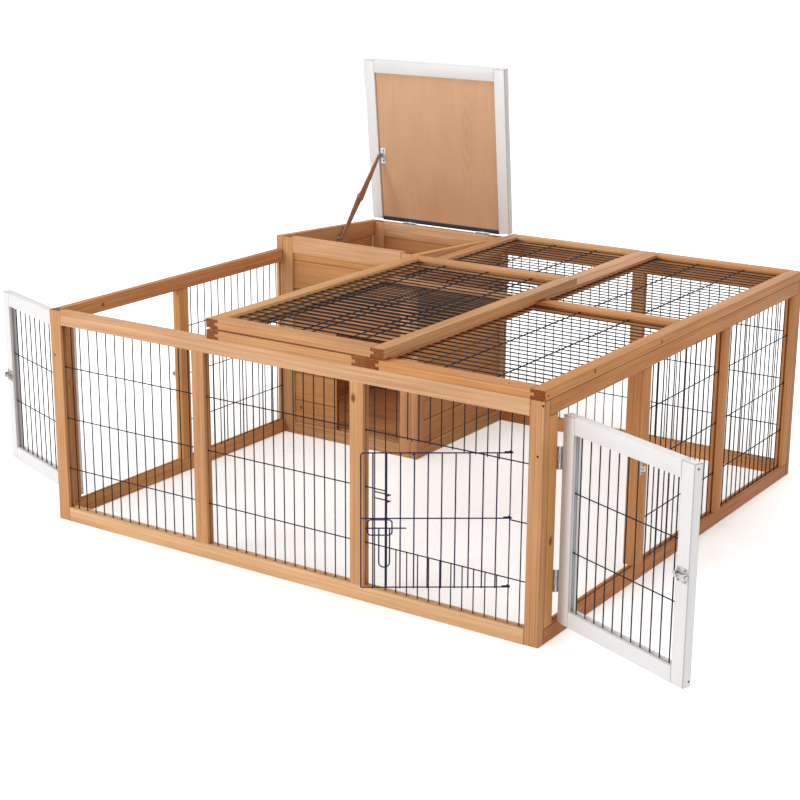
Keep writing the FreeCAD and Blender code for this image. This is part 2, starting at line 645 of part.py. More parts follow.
def roof_mesh(x, z, width, bars):
    clear_width = f"({width} - 2 * face)"
    wires = []
    for near, far in zip(bars, bars[1:]):
        low = {"x": f"({x} + face)", "y": f"({FRONT} + {near} + face)", "z": f"({z} + thick / 2)"}
        span = {"x": clear_width, "y": f"({far} - {near} - face)"}
        wires += mesh_bay("y", "x", "z", low, span, centred_crosses(low["x"], clear_width))
    return wires


full_bars = ["0", "(run_depth / 2 - face / 2)", "(run_depth - face)"]
for label, x in (("middle_roof", middle_panel), ("right_roof", f"({middle_panel} + {panel_width})")):
    sub_part(f"{label}_frame", roof_frame(x, "wall_height", panel_width, "run_depth", full_bars))
    sub_part(f"{label}_mesh", roof_mesh(x, "wall_height", panel_width, full_bars))
fold_bars = ["0", "(fold_depth - face)"]
sub_part("folding_roof_frame", roof_frame(middle_panel, FOLD_BASE, "fold_width", "fold_depth", fold_bars))
sub_part("folding_roof_mesh", roof_mesh(middle_panel, FOLD_BASE, "fold_width", fold_bars))


# Hinges
def knuckles(axis, pin, length):
    """Two fixed knuckles on a pin, and the moving one between them with its bore."""
    third = f"({length} / 3)"
    fixed = [barrel(axis, pin, "pin_radius", length)]
    for side in (-1, 1):
        middle = dict(pin)
        middle[axis] = f"({pin[axis]}) + {side} * {third}"
        fixed.append(barrel(axis, middle, "knuckle", third))
    moving = barrel(axis, pin, "knuckle", f"{third} - 2 * running_gap")
    pin_bore = bore(axis, pin, "pin_radius + pin_fit", f"{length} + 2 * running_gap")
    return fixed, moving, pin_bore


def hinge(axis, out, over, pin, length, gap):
    """A butt hinge in a gap: out is the axis and sign from the wood to the pin, over from the fixed
    leaf to the moving one. Returns the fixed leaf with the pin, and the moving leaf."""
    out_axis, out_sign = out
    over_axis, over_sign = over
    fixed, moving, pin_bore = knuckles(axis, pin, length)

    def leaf_block(width, inset, tall, shift, side):
        size = {axis: tall, out_axis: width, over_axis: "leaf"}
        middle = dict(pin)
        middle[axis] = f"({pin[axis]}) + {shift}"
        middle[out_axis] = f"({pin[out_axis]}) - {out_sign} * ({inset} + {width} / 2)"
        middle[over_axis] = f"({pin[over_axis]}) + {side * over_sign} * ({gap} / 2 - leaf / 2)"
        return middle_box(size, middle)

    reach = "(knuckle + running_gap)"
    third = f"({length} / 3)"
    fixed.append(leaf_block("leaf_width", reach, length, "0", -1))
    for side in (-1, 1):
        fixed.append(leaf_block(reach, "0", third, f"{side} * {third}", -1))
    swing = fuse(moving, leaf_block("leaf_width", reach, length, "0", 1),
                 leaf_block(reach, "0", f"({third} - 2 * running_gap)", "0", 1))
    return fuse(*fixed), cut(swing, pin_bore)


fold_pin_x = f"({LEFT} + fold_width + roof_seam / 2)"
fold_pin_z = "(wall_height + thick + fold_gap / 2)"
fold_hinges = [hinge("y", ("x", -1), ("z", 1), {"x": fold_pin_x, "y": f"{FRONT} + {along}", "z": fold_pin_z},
                     "fold_hinge", "fold_gap")
               for along in ("fold_hinge_inset", "fold_depth - fold_hinge_inset")]
sub_part("roof_hinge_lower_leaves", [fixed for fixed, moving in fold_hinges])
sub_part("roof_hinge_upper_leaves", [moving for fixed, moving in fold_hinges])

# Side doors, built closed and turned to the angle at which they stand open
DOOR_HINGE_Y = f"({SIDE_FRONT} + face + door_gap / 2)"
DOOR_FRONT = f"({SIDE_FRONT} + face + door_gap)"
DOOR_WIDTH = "(door_opening - 2 * door_gap)"
DOOR_BASE = "(face + door_gap)"
DOOR_TALL = f"({CLEAR_HEIGHT} - 2 * door_gap)"
DOOR_CENTRE = "(wall_height / 2)"


def door_frame(x):
    base = {"x": x, "y": DOOR_FRONT, "z": DOOR_BASE}
    far = dict(base, y=f"{DOOR_FRONT} + {DOOR_WIDTH} - face")
    low = dict(base, y=f"{DOOR_FRONT} + face")
    high = dict(low, z=f"{DOOR_BASE} + {DOOR_TALL} - face")
    bar = f"{DOOR_WIDTH} - 2 * face"
    return [timber("z", "x", base, DOOR_TALL, "+"), timber("z", "x", far, DOOR_TALL, "-"),
            timber("y", "x", low, bar, "+", "-+"), timber("y", "x", high, bar, "-", "-+")]


def door_mesh(x):
    low = {"x": f"({x} + thick / 2)", "y": f"({DOOR_FRONT} + face)", "z": f"({DOOR_BASE} + face)"}
    span = {"y": f"({DOOR_WIDTH} - 2 * face)", "z": f"({DOOR_TALL} - 2 * face)"}
    return mesh_bay("y", "z", "x", low, span, centred_crosses(low["z"], span["z"]))


def latch(face_x, out):
    """A barrel bolt on a door's outer face, and its catch on the jamb; out is the outward sign."""
    edge = f"({DOOR_FRONT} + {DOOR_WIDTH})"
    middle = f"({edge} - latch_inset)"
    axis_x = f"({face_x} + {out} * (leaf + running_gap + bolt_radius))"
    guide_deep = "(2 * bolt_radius + 2 * running_gap + 2 * leaf)"

    def guide(y, wide):
        at = {"x": f"{face_x} + {out} * {guide_deep} / 2", "y": y, "z": "latch_height"}
        block = middle_box({"x": guide_deep, "y": wide, "z": "guide_tall"}, at)
        hole = dict(at, x=axis_x)
        return cut(block, bore("y", hole, "bolt_radius + running_gap", f"{wide} + 2 * running_gap"))

    def plate(y, wide):
        at = {"x": f"{face_x} + {out} * leaf / 2", "y": y, "z": "latch_height"}
        return middle_box({"x": "leaf", "y": wide, "z": "latch_tall"}, at)

    guides = [guide(f"{middle} + {side} * (latch_width - guide_wide) / 2", "guide_wide") for side in (-1, 1)]
    base = fuse(plate(middle, "latch_width"), *guides)
    bolt_long = "(latch_inset + latch_width / 2 + bolt_travel / 2)"
    shank = barrel("y", {"x": axis_x, "y": f"{edge} - running_gap - {bolt_long} / 2", "z": "latch_height"},
                   "bolt_radius", bolt_long)
    knob = barrel("x", {"x": f"{axis_x} + {out} * knob_long / 2", "y": f"{middle} - bolt_travel / 2",
                        "z": "latch_height"}, "knob_radius", "knob_long")
    catch_wide = "(bolt_travel - door_gap)"
    catch_y = f"{jamb_y} + {catch_wide} / 2"
    catch = fuse(plate(catch_y, catch_wide), guide(catch_y, catch_wide))
    return base, fuse(shank, knob), catch


post_leaves = []
catches = []
for side, inner, face_x, out in (("right", right_inner, RIGHT, 1), ("left", LEFT, LEFT, -1)):
    pivot = {"x": f"{face_x} + {out} * pin_out", "y": DOOR_HINGE_Y, "z": "0"}
    turn = (pivot, "z", f"{-out} * {side}_door_angle")
    sub_part(f"{side}_door_frame", door_frame(inner), turn)
    sub_part(f"{side}_door_mesh", door_mesh(inner), turn)
    pairs = [hinge("z", ("x", out), ("y", 1), dict(pivot, z=f"{DOOR_CENTRE} + {level} * hinge_spread / 2"),
                   "door_hinge", "door_gap") for level in (-1, 1)]
    post_leaves += [fixed for fixed, moving in pairs]
    sub_part(f"{side}_door_hinge_leaves", [moving for fixed, moving in pairs], turn)
    base, bolt, catch = latch(face_x, out)
    sub_part(f"{side}_latch_plate", [base], turn)
    sub_part(f"{side}_latch_bolt", [bolt], turn)
    catches.append(catch)
sub_part("door_hinge_post_leaves", post_leaves)
sub_part("latch_catches", catches)


# Wire door, built closed on its hinge wire and turned open
def bend(middle, radius, gauge, start, end, sweep):
    """An arc of six-sided wire about a point, from the start direction towards the end direction."""
    section = doc.addObject("Part::RegularPolygon", "Section")
    section.Polygon = 6
    bind(section, "Circumradius", f"{gauge} / 2 / cos(30)")
    place(section, {"x": radius, "y": "0", "z": "0"}, Rotation(UNIT["x"], 90))
    arc = doc.addObject("Part::Revolution", "Arc")
    arc.Source = section
    arc.Axis = UNIT["z"]
    arc.Angle = sweep
    arc.Solid = True
    turned = doc.addObject("Part::Compound", "Bend")
    turned.Links = [arc]
    place(turned, middle, Rotation(start, end, start.cross(end), "ZYX"))
    return turned


hinge_y = upright_y
frame_y = f"({hinge_y} - wire - running_gap)"
bar_y = f"({frame_y} - wire)"
slide_y = f"({bar_y} - wire / 2 - running_gap - slide_wire / 2)"
keeper_y = f"({slide_y} - slide_wire / 2 - running_gap - wire / 2)"
door_top = f"({DOOR_LOW} + wire_door_tall)"
left_way, up_way = -UNIT["x"], UNIT["z"]

frame_wires = [
    wire_rod("z", "y", {"x": free_edge, "y": frame_y, "z": DOOR_LOW}, "wire_door_tall - wire_door_corner"),
    bend({"x": f"{free_edge} + wire_door_corner", "y": frame_y, "z": f"{door_top} - wire_door_corner"},
         "wire_door_corner", "wire", left_way, up_way, 90),
    wire_rod("x", "y", {"x": f"{free_edge} + wire_door_corner", "y": frame_y, "z": door_top},
             f"{wire_door_width} - wire_door_corner")]
for level in (DOOR_LOW, DOOR_MIDDLE):
    frame_wires.append(wire_rod("x", "y", {"x": free_edge, "y": frame_y, "z": level}, wire_door_width))
eyes = [{"x": hinge_x, "y": hinge_y, "z": level} for level in (DOOR_LOW, DOOR_MIDDLE, door_top)]
frame_wires += [barrel("z", eye, "1.5 * wire + running_gap", "wire") for eye in eyes]
wire_frame = fuse(*frame_wires)
for eye in eyes:
    wire_frame = cut(wire_frame, bore("z", eye, "wire / 2 + running_gap", "2 * wire"))
carriers = wire_count(wire_door_width)
bars = [wire_rod("z", "y", {"x": f"{hinge_x} - {number + 1} * wire_pitch", "y": bar_y,
                            "z": f"{DOOR_LOW} - wire / 2"}, "wire_door_tall + wire")
        for number in range(carriers)]

keeper_x = f"({free_edge} + keeper_set)"
keeper_z = f"({DOOR_MIDDLE} - keeper_tall / 2)"
keeper = []
for side in (-1, 1):
    upright = {"x": f"{keeper_x} + {side} * keeper_wide / 2", "y": keeper_y,
               "z": f"{keeper_z} - keeper_tall / 2 + keeper_bend"}
    keeper.append(wire_rod("z", "y", upright, "keeper_tall - 2 * keeper_bend"))
    level = {"x": f"{keeper_x} - keeper_wide / 2 + keeper_bend", "y": keeper_y,
             "z": f"{keeper_z} + {side} * keeper_tall / 2"}
    keeper.append(wire_rod("x", "y", level, "keeper_wide - 2 * keeper_bend"))
    for height in (-1, 1):
        corner = {"x": f"{keeper_x} + {side} * (keeper_wide / 2 - keeper_bend)", "y": keeper_y,
                  "z": f"{keeper_z} + {height} * keeper_tall / 2"}
        slant = wire_rod("z", "y", corner, "keeper_bend * sqrt(2)")
        slant.Placement.Rotation = Rotation(UNIT["y"], side * (90 + height * 45))
        keeper.append(slant)
for number in (carriers - 1, carriers):
    leg = {"x": f"{hinge_x} - {number} * wire_pitch", "y": keeper_y, "z": f"{keeper_z} + keeper_tall / 2"}
    keeper.append(wire_rod("y", "z", leg, f"{bar_y} - wire / 2 - {keeper_y}"))

wire_pivot = {"x": hinge_x, "y": hinge_y, "z": "0"}
wire_turn = (wire_pivot, "z", "wire_door_angle")
sub_part("wire_door", [wire_frame] + bars + [fuse(*keeper)], wire_turn)

slide_z = f"({DOOR_MIDDLE} - slide_drop)"
pull_x = f"({free_edge} + pull_set)"
pull_bend_z = f"({slide_z} - pull_long + pull_wide / 2)"
slide = [wire_rod("x", "y", {"x": f"{free_edge} + slide_set", "y": slide_y, "z": slide_z},
                  "slide_long", "slide_wire"),
         bend({"x": pull_x, "y": slide_y, "z": pull_bend_z}, "pull_wide / 2", "slide_wire",
              left_way, -up_way, 180)]
for side in (-1, 1):
    leg = {"x": f"{pull_x} + {side} * pull_wide / 2", "y": slide_y, "z": pull_bend_z}
    slide.append(wire_rod("z", "y", leg, f"{slide_z} - {pull_bend_z}", "slide_wire"))
sub_part("wire_door_bolt", [fuse(*slide)], wire_turn)

# Lid, built flat on its hinge pin and turned open
SLOPE = "atan(box_fall / box_depth)"
LID_ANGLE = f"({SLOPE} + lid_angle * 1 deg)"
PIN_Y = f"({BACK} + knuckle + running_gap)"
PIN_Z = f"({BOX_BACK_HEIGHT} + lid_gap)"
lid_front = f"({BACK} - lid_length)"
lid_pivot = {"x": "0", "y": PIN_Y, "z": PIN_Z}
lid_turn = (lid_pivot, "x", f"-{LID_ANGLE}")
panel_slot = "(lid_panel_thick + 2 * joint_fit)"
panel_plane = "lid_panel_set + lid_panel_thick / 2"
panel_top = "(lid_panel_set + lid_panel_thick)"
lid_bar = "(box_width - 2 * face)"


def lid_timber(axis, corner, length, groove, tenons=""):
    return timber(axis, "z", corner, length, groove, tenons, plane=panel_plane, slot=panel_slot)


sub_part("lid_frame", [
    lid_timber("y", {"x": LEFT, "y": lid_front, "z": PIN_Z}, "lid_length", "+"),
    lid_timber("y", {"x": f"{BOX_RIGHT} - face", "y": lid_front, "z": PIN_Z}, "lid_length", "-"),
    lid_timber("x", {"x": f"{LEFT} + face", "y": lid_front, "z": PIN_Z}, lid_bar, "+", "-+"),
    box({"x": lid_bar, "y": "face", "z": f"thick - {panel_top}"},
        {"x": f"{LEFT} + face", "y": f"{BACK} - face", "z": f"{PIN_Z} + {panel_top}"})], lid_turn)
sub_part("lid_panel", [
    box({"x": f"{lid_bar} + 2 * board_seat", "y": "lid_length - face + board_seat", "z": "lid_panel_thick"},
        {"x": f"{LEFT} + face - board_seat", "y": f"{lid_front} + face - board_seat",
         "z": f"{PIN_Z} + lid_panel_set"})], lid_turn)
sub_part("lid_strip", [
    box({"x": lid_bar, "y": "lid_strip_wide", "z": "lid_strip_thick"},
        {"x": f"{LEFT} + face", "y": f"{BACK} - lid_strip_wide",
         "z": f"{PIN_Z} + lid_panel_set - lid_strip_thick"})], lid_turn)

# Lid hinges: one leaf on the back wall's top, the other on the lid's hinge edge
wall_leaves = []
lid_leaves = []
for number in range(2):
    pin = dict(lid_pivot, x=f"({LEFT} + lid_hinge_inset + {number} * lid_hinge_spread)")
    fixed, moving, pin_bore = knuckles("x", pin, "lid_hinge")
    third = "(lid_hinge / 3)"
    reach = "(knuckle + running_gap)"
    wall_z = f"{BOX_BACK_HEIGHT} + leaf / 2"
    fixed.append(middle_box({"x": "lid_hinge", "y": "leaf_width", "z": "leaf"},
                            dict(pin, y=f"{BACK} - leaf_width / 2", z=wall_z)))
    for side in (-1, 1):
        fixed.append(middle_box({"x": third, "y": reach, "z": "leaf"},
                                {"x": f"{pin['x']} + {side} * {third}", "y": f"{BACK} + {reach} / 2",
                                 "z": wall_z}))
    wall_leaves.append(fuse(*fixed))
    edge_y = f"{BACK} + leaf / 2"
    tall = f"(thick - {reach})"
    swing = fuse(moving,
                 middle_box({"x": "lid_hinge", "y": "leaf", "z": tall},
                            dict(pin, y=edge_y, z=f"{PIN_Z} + {reach} + {tall} / 2")),
                 middle_box({"x": f"{third} - 2 * running_gap", "y": "leaf", "z": reach},
                            dict(pin, y=edge_y, z=f"{PIN_Z} + {reach} / 2")))
    lid_leaves.append(cut(swing, pin_bore))
sub_part("lid_hinge_wall_leaves", wall_leaves)
sub_part("lid_hinge_lid_leaves", lid_leaves, lid_turn)

# Lid stay: two tapered arms that stand straight, between the box's left wall and the lid
stay_pivot = {"x": "0", "y": f"({BACK} - stay_y)", "z": "stay_z"}
lid_pin_y = f"({PIN_Y} - stay_reach * cos({LID_ANGLE}) - stay_lift * sin({LID_ANGLE}))"
lid_pin_z = f"({PIN_Z} + stay_reach * sin({LID_ANGLE}) - stay_lift * cos({LID_ANGLE}))"
stay_rise = f"({lid_pin_z} - stay_z)"
stay_run = f"({lid_pin_y} - {stay_pivot['y']})"
stay_upper = f"(sqrt({stay_rise} ^ 2 + {stay_run} ^ 2) - stay_lower)"
stay_turn = (stay_pivot, "x", f"atan2({stay_rise}; {stay_run})")
lower_x = f"({LEFT} + face - running_gap - stay_thick)"
upper_x = f"({LEFT} + face + running_gap)"


def stay_arm(x, start_y, length, start_half, end_half):
    """A flat arm along +Y with round ends, tapered from one half width to the other."""
    middle_x = f"{x} + stay_thick / 2"
    blade = profile([("0", f"stay_wide_end - {start_half}"), (length, f"stay_wide_end - {end_half}"),
                     (length, f"stay_wide_end + {end_half}"), ("0", f"stay_wide_end + {start_half}")],
                    "stay_thick", {"x": x, "y": start_y, "z": "stay_z - stay_wide_end"}, TO_SIDE)
    start = rod("x", {"x": middle_x, "y": start_y, "z": "stay_z"}, start_half, "stay_thick")
    end = rod("x", {"x": middle_x, "y": f"{start_y} + {length}", "z": "stay_z"}, end_half, "stay_thick")
    return blade, start, end


elbow_y = f"({stay_pivot['y']} + stay_lower)"
elbow = {"x": f"{lower_x} - rivet_high / 2", "y": elbow_y, "z": "stay_z"}
rivet = barrel("x", elbow, "rivet_radius", "rivet_high")
lower = fuse(*stay_arm(lower_x, stay_pivot["y"], "stay_lower", "stay_narrow_end", "stay_wide_end"), rivet)
lower_bore = bore("x", dict(stay_pivot, x=f"{lower_x} + stay_thick / 2"), "stay_pin + pin_fit",
                  "2 * stay_thick")
sub_part("stay_lower_arm", [cut(lower, lower_bore)], stay_turn)

upper = fuse(*stay_arm(upper_x, elbow_y, stay_upper, "stay_wide_end", "stay_narrow_end"))
upper_end = {"x": f"{upper_x} + stay_thick / 2", "y": f"{elbow_y} + {stay_upper}", "z": "stay_z"}
upper_bore = bore("x", upper_end, "stay_pin + pin_fit", "2 * stay_thick")
sub_part("stay_upper_arm", [cut(upper, upper_bore)], stay_turn)

plate_y = f"{stay_pivot['y']} - plate_wide / 2"
wall_plate = box({"x": "leaf", "y": "plate_wide", "z": "plate_tall"},
                 {"x": box_inner, "y": plate_y, "z": "stay_z + plate_wide / 2 - plate_tall"})
boss_long = f"({lower_x} - running_gap - {box_inner})"
boss = barrel("x", dict(stay_pivot, x=f"{box_inner} + {boss_long} / 2"), "2 * stay_pin", boss_long)
wall_pin_long = f"({LEFT} + face - {box_inner})"
wall_pin = barrel("x", dict(stay_pivot, x=f"{box_inner} + {wall_pin_long} / 2"), "stay_pin", wall_pin_long)
sub_part("stay_wall_bracket", [fuse(wall_plate, boss, wall_pin)])

ear_x = f"({upper_x} + stay_thick + running_gap)"
ear_y = f"({PIN_Y} - stay_reach)"
ear_z = f"({PIN_Z} - stay_lift)"
plate_z = f"({PIN_Z} + lid_panel_set)"
lid_plate = box({"x": "plate_wide", "y": "plate_long", "z": "leaf"},
                {"x": ear_x, "y": f"{ear_y} - plate_long / 2", "z": f"{plate_z} - leaf"})
ear = box({"x": "leaf", "y": "2 * stay_narrow_end", "z": f"{plate_z} - {ear_z} + stay_narrow_end"},
          {"x": ear_x, "y": f"{ear_y} - stay_narrow_end", "z": f"{ear_z} - stay_narrow_end"})
ear_pin_long = f"({ear_x} + leaf - {upper_x})"
ear_pin = barrel("x", {"x": f"{upper_x} + {ear_pin_long} / 2", "y": ear_y, "z": ear_z}, "stay_pin",
                 ear_pin_long)
sub_part("stay_lid_bracket", [fuse(lid_plate, ear, ear_pin)], lid_turn)

# Build, check and write one file for each sub-part
doc.recompute()
failed = [item.Name for item in doc.Objects if "Invalid" in item.State or "Error" in item.State]
if failed:
    raise RuntimeError(f"not built: {failed}")
for label, node in nodes.items():
    if node.Shape.isNull() or not node.Shape.isValid() or not node.Shape.Solids:
        raise RuntimeError(f"bad shape: {label}")
os.makedirs("parts", exist_ok=True)
for label, node in nodes.items():
    node.Shape.exportStep(f"parts/{label}.step")
print(len(nodes), "sub-parts,", sum(len(node.Shape.Solids) for node in nodes.values()), "solids")
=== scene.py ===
# %% [markdown]
# # A guinea pig hutch
# The hutch is a square run of honey-coloured fir frames filled with black welded mesh, with a boarded
# shelter box in one back corner. Two white doors, a small wire door, a folding roof panel and the lid of
# the box open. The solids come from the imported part, so this lesson only finishes them: it eases the edges
# of the timber, gives every plank its own grain, and adds the screws and their holes, a rivet, the lid's
# seal and the hooked wire ends.

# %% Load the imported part
import json
import math
import random

import bpy
import numpy as np
from mathutils import Matrix, Vector

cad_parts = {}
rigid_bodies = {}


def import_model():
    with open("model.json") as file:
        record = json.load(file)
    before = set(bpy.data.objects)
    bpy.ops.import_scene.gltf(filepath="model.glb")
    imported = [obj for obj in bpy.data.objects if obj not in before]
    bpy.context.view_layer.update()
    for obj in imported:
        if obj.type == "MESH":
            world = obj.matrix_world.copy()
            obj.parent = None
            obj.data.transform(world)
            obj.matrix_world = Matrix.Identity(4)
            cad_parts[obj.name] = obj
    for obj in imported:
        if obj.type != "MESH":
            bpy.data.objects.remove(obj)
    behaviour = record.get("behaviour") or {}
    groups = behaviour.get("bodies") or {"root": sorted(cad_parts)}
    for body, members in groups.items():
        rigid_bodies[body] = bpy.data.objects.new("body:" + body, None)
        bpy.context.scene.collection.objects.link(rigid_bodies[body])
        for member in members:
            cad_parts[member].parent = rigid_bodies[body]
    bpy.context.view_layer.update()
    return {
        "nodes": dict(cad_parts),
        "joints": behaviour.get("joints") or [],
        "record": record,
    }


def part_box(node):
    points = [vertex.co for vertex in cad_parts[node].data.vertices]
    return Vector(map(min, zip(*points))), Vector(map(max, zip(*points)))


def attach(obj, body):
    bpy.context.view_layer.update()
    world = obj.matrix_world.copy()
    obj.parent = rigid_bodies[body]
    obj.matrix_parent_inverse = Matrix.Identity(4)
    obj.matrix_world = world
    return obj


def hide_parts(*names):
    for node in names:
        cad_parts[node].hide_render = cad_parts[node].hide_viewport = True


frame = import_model()
MM = 0.001
bodies = {node: body
          for body, members in frame["record"]["behaviour"]["bodies"].items() for node in members}
joints = {joint["name"]: joint for joint in frame["joints"]}

# %% [markdown]
# ## Small helpers for finishes
# A finish is a tree of shader nodes. Colours are written as the hex values that a paint chart gives, and
# one function turns them to the linear numbers that the shader works in. One more adds a node, sets what
# differs from its defaults and links what feeds it, so that each finish below reads as a short list. The
# last makes a material with an empty tree to start from.


# %% Colours and shader nodes
def linear(colour):
    """Linear RGBA of an sRGB hex colour."""
    parts = [int(colour[place:place + 2], 16) / 255 for place in (1, 3, 5)]
    return [part / 12.92 if part <= 0.04045 else ((part + 0.055) / 1.055) ** 2.4 for part in parts] + [1.0]


def add_node(tree, kind, settings=None, feeds=None):
    """Adds a shader node. A feed is a socket to link from, or a fixed value."""
    made = tree.nodes.new(kind)
    for name, setting in (settings or {}).items():
        setattr(made, name, setting)
    for socket, feed in (feeds or {}).items():
        if isinstance(feed, bpy.types.NodeSocket):
            tree.links.new(feed, made.inputs[socket])
        else:
            made.inputs[socket].default_value = feed
    return made


def new_finish(name):
    """An empty material and its node tree."""
    finish = bpy.data.materials.new(name)
    finish.use_nodes = True
    finish.node_tree.nodes.clear()
    return finish, finish.node_tree


# A Mix node has sockets of one name for numbers, vectors and colours, so its colours go by number.
FROM, TO, MIXED = 6, 7, 2
print("fir reads", [round(part, 3) for part in linear("#D0A070")])

# %% [markdown]
# ## Grain that follows each plank
# On the real frame every stick was sawn from another part of a tree, so its rings and streaks run along
# its own length and never carry on into the next stick. A texture on plain Object coordinates would run
# through the whole frame. So each plank is cut out of its node as a closed mesh, its long direction is
# read from the area of its faces, and every point gets a grain coordinate: metres along the plank, across
# it and through it, measured from a tree's heart that lies somewhere beside the plank.


# %% Split a node into planks
def planks_of(mesh):
    """Points and faces of each plank. Two faces are of one plank where they alone share an edge."""
    spots = [tuple(round(part, 6) for part in point.co) for point in mesh.vertices]
    rings = [[spots[corner] for corner in face.vertices] for face in mesh.polygons]
    sharing = {}
    for number, ring in enumerate(rings):
        for start, end in zip(ring, ring[1:] + ring[:1]):
            sharing.setdefault(frozenset((start, end)), []).append(number)
    group = list(range(len(rings)))

    def head(number):
        while group[number] != number:
            number = group[number]
        return number

    for pair in sharing.values():
        if len(pair) == 2:
            group[head(pair[0])] = head(pair[1])
    planks = {}
    for number, ring in enumerate(rings):
        planks.setdefault(head(number), []).append(ring)
    made = []
    for rings_of_plank in planks.values():
        points = sorted({spot for ring in rings_of_plank for spot in ring})
        place = {spot: number for number, spot in enumerate(points)}
        made.append((points, [[place[spot] for spot in ring] for ring in rings_of_plank]))
    return made


def alone(piece):
    """Makes a piece the only one selected, and the active one."""
    bpy.ops.object.select_all(action="DESELECT")
    piece.select_set(True)
    bpy.context.view_layer.objects.active = piece


print("front corner posts:", len(planks_of(frame["nodes"]["front_corner_posts"].data)), "planks")

# %% Write the grain of a plank
HEART_NEAR, HEART_FAR = 25 * MM, 90 * MM
# Metres of trunk from which a plank may be sawn.
TRUNK = 20
# How nearly a face must look along the plank to be a sawn end, and along any of its axes to be a flat side.
END_ON, FLAT_ON = 0.9, 0.97


def write_grain(mesh, chance, along=None, heart=None, open_ends=1.0):
    """Stores each point's place in the tree, a tone for the plank, its end grain and its eased edges."""
    normals = np.array([face.normal for face in mesh.polygons])
    areas = np.array([face.area for face in mesh.polygons])
    _, axes = np.linalg.eigh((normals * areas[:, None]).T @ normals)
    length = np.array(along) if along else axes[:, 0]
    across = np.cross(axes[:, 2], length)
    across = across / np.linalg.norm(across)
    through = np.cross(length, across)
    points = np.array([point.co for point in mesh.vertices])
    local = (points - points.mean(0)) @ np.array([length, across, through]).T
    turn, far = chance.uniform(0, 2 * math.pi), chance.uniform(HEART_NEAR, HEART_FAR)
    local += heart or [chance.uniform(0, TRUNK), far * math.cos(turn), far * math.sin(turn)]
    grain = mesh.attributes.new("grain", "FLOAT_VECTOR", "POINT")
    grain.data.foreach_set("vector", local.astype(np.float32).ravel())
    tone = mesh.attributes.new("tone", "FLOAT", "POINT")
    tone.data.foreach_set("value", np.full(len(points), chance.uniform(-1, 1), np.float32))
    ends = mesh.attributes.new("end_grain", "FLOAT", "FACE")
    square = np.abs(normals @ np.array([length, across, through]).T).max(1)
    eased = mesh.attributes.new("eased", "FLOAT", "FACE")
    eased.data.foreach_set("value", (square < FLAT_ON).astype(np.float32))
    ends.data.foreach_set("value", (np.abs(normals @ length) > END_ON).astype(np.float32) * open_ends)


print("heart of the tree", HEART_NEAR / MM, "to", HEART_FAR / MM, "mm from a plank's middle")

# %% [markdown]
# ## Screw holes
# A few joints of the frame are held by screws that sit in drilled holes, seen as dark dots. A hole is a
# cut, so it is made as a cut: a cylinder stands for the drill and a Boolean modifier takes it out of the
# plank. The doors stand open in the part, so their holes are first placed on the shut door, where they are
# easy to measure, and then turned about the hinge. The lid's holes are placed on the open lid itself, but
# its screws and seal, which come later, are placed on a level lid and turned.


# %% Where the doors and the lid stand
def stood(joint, degrees):
    """The turn from a shut door, or a level lid, to where it stands open in the part."""
    place = Matrix.Translation(joints[joint]["pos_m"])
    turn = Matrix.Rotation(math.radians(degrees), 4, Vector(joints[joint]["axis"]))
    return place @ turn @ place.inverted()


RIGHT_DOOR, LEFT_DOOR = stood("right_door_hinge", 112), stood("left_door_hinge", 70)
WIRE_DOOR, LID = stood("wire_door_hinge", 35), stood("lid_hinge", -83.97)
ASIDE, BACKWARD, UPWARD = Vector((1, 0, 0)), Vector((0, 1, 0)), Vector((0, 0, 1))


def spot(x, y, z, way, turn=Matrix()):
    """A place in millimetres with the direction that faces out of the surface there."""
    return turn @ (Vector((x, y, z)) * MM), turn.to_3x3() @ way


HOLES = {
    "front_corner_posts": [spot(576.2, -9.25, 446.5, -BACKWARD), spot(567.9, -9.25, 354.8, -BACKWARD),
                           spot(-570, -9.25, 359.7, -BACKWARD)],
    "right_roof_frame": [spot(580, 0.7, 462.9, ASIDE), spot(504.1, -1.6, 473.5, UPWARD)],
    "right_door_frame": [spot(570.75, 367.75, 412, BACKWARD, RIGHT_DOOR),
                         spot(566.5, 367.75, 44, BACKWARD, RIGHT_DOOR)],
    "left_door_frame": [spot(-570.75, 367.75, 412, BACKWARD, LEFT_DOOR),
                        spot(-570.75, 367.75, 44, BACKWARD, LEFT_DOOR)],
    "lid_frame": [spot(-175, 1133.8, 833.3, ASIDE), spot(-175, 1150, 653.6, ASIDE)],
    "box_stiles": [spot(-188.1, 747.75, 43.5, -BACKWARD), spot(-184.9, 747.75, 10.9, -BACKWARD)],
}
print(sum(len(holes) for holes in HOLES.values()), "screw holes")

# %% Drill a hole
HOLE, HOLE_DEEP = 2.3 * MM, 2.6 * MM


def drill(plank, place, way):
    """Cuts a round hole with a flat bottom into a plank, where the place lies on that plank."""
    corners = np.array([corner[:] for corner in plank.bound_box])
    if np.any(np.array(place) < corners.min(0) - MM) or np.any(np.array(place) > corners.max(0) + MM):
        return
    bpy.ops.object.select_all(action="DESELECT")
    bpy.ops.mesh.primitive_cylinder_add(vertices=16, radius=HOLE, depth=2 * HOLE_DEEP, location=place,
                                        rotation=way.to_track_quat("Z", "Y").to_euler())
    bit = bpy.context.active_object
    alone(plank)
    hole = plank.modifiers.new("Screw hole", "BOOLEAN")
    hole.object, hole.solver = bit, "EXACT"
    bpy.ops.object.modifier_apply(modifier=hole.name)
    bpy.data.objects.remove(bit)


print("holes", 2 * HOLE / MM, "mm wide")

# %% [markdown]
# ## Planed and eased planks
# A planed stick never has knife edges: the maker runs a sander along them. A Bevel modifier of about a
# millimetre gives that soft edge, which catches a thin line of light and shows where two sticks meet.
# The planks of a node are then joined again, so that one piece stands for one node of the part.


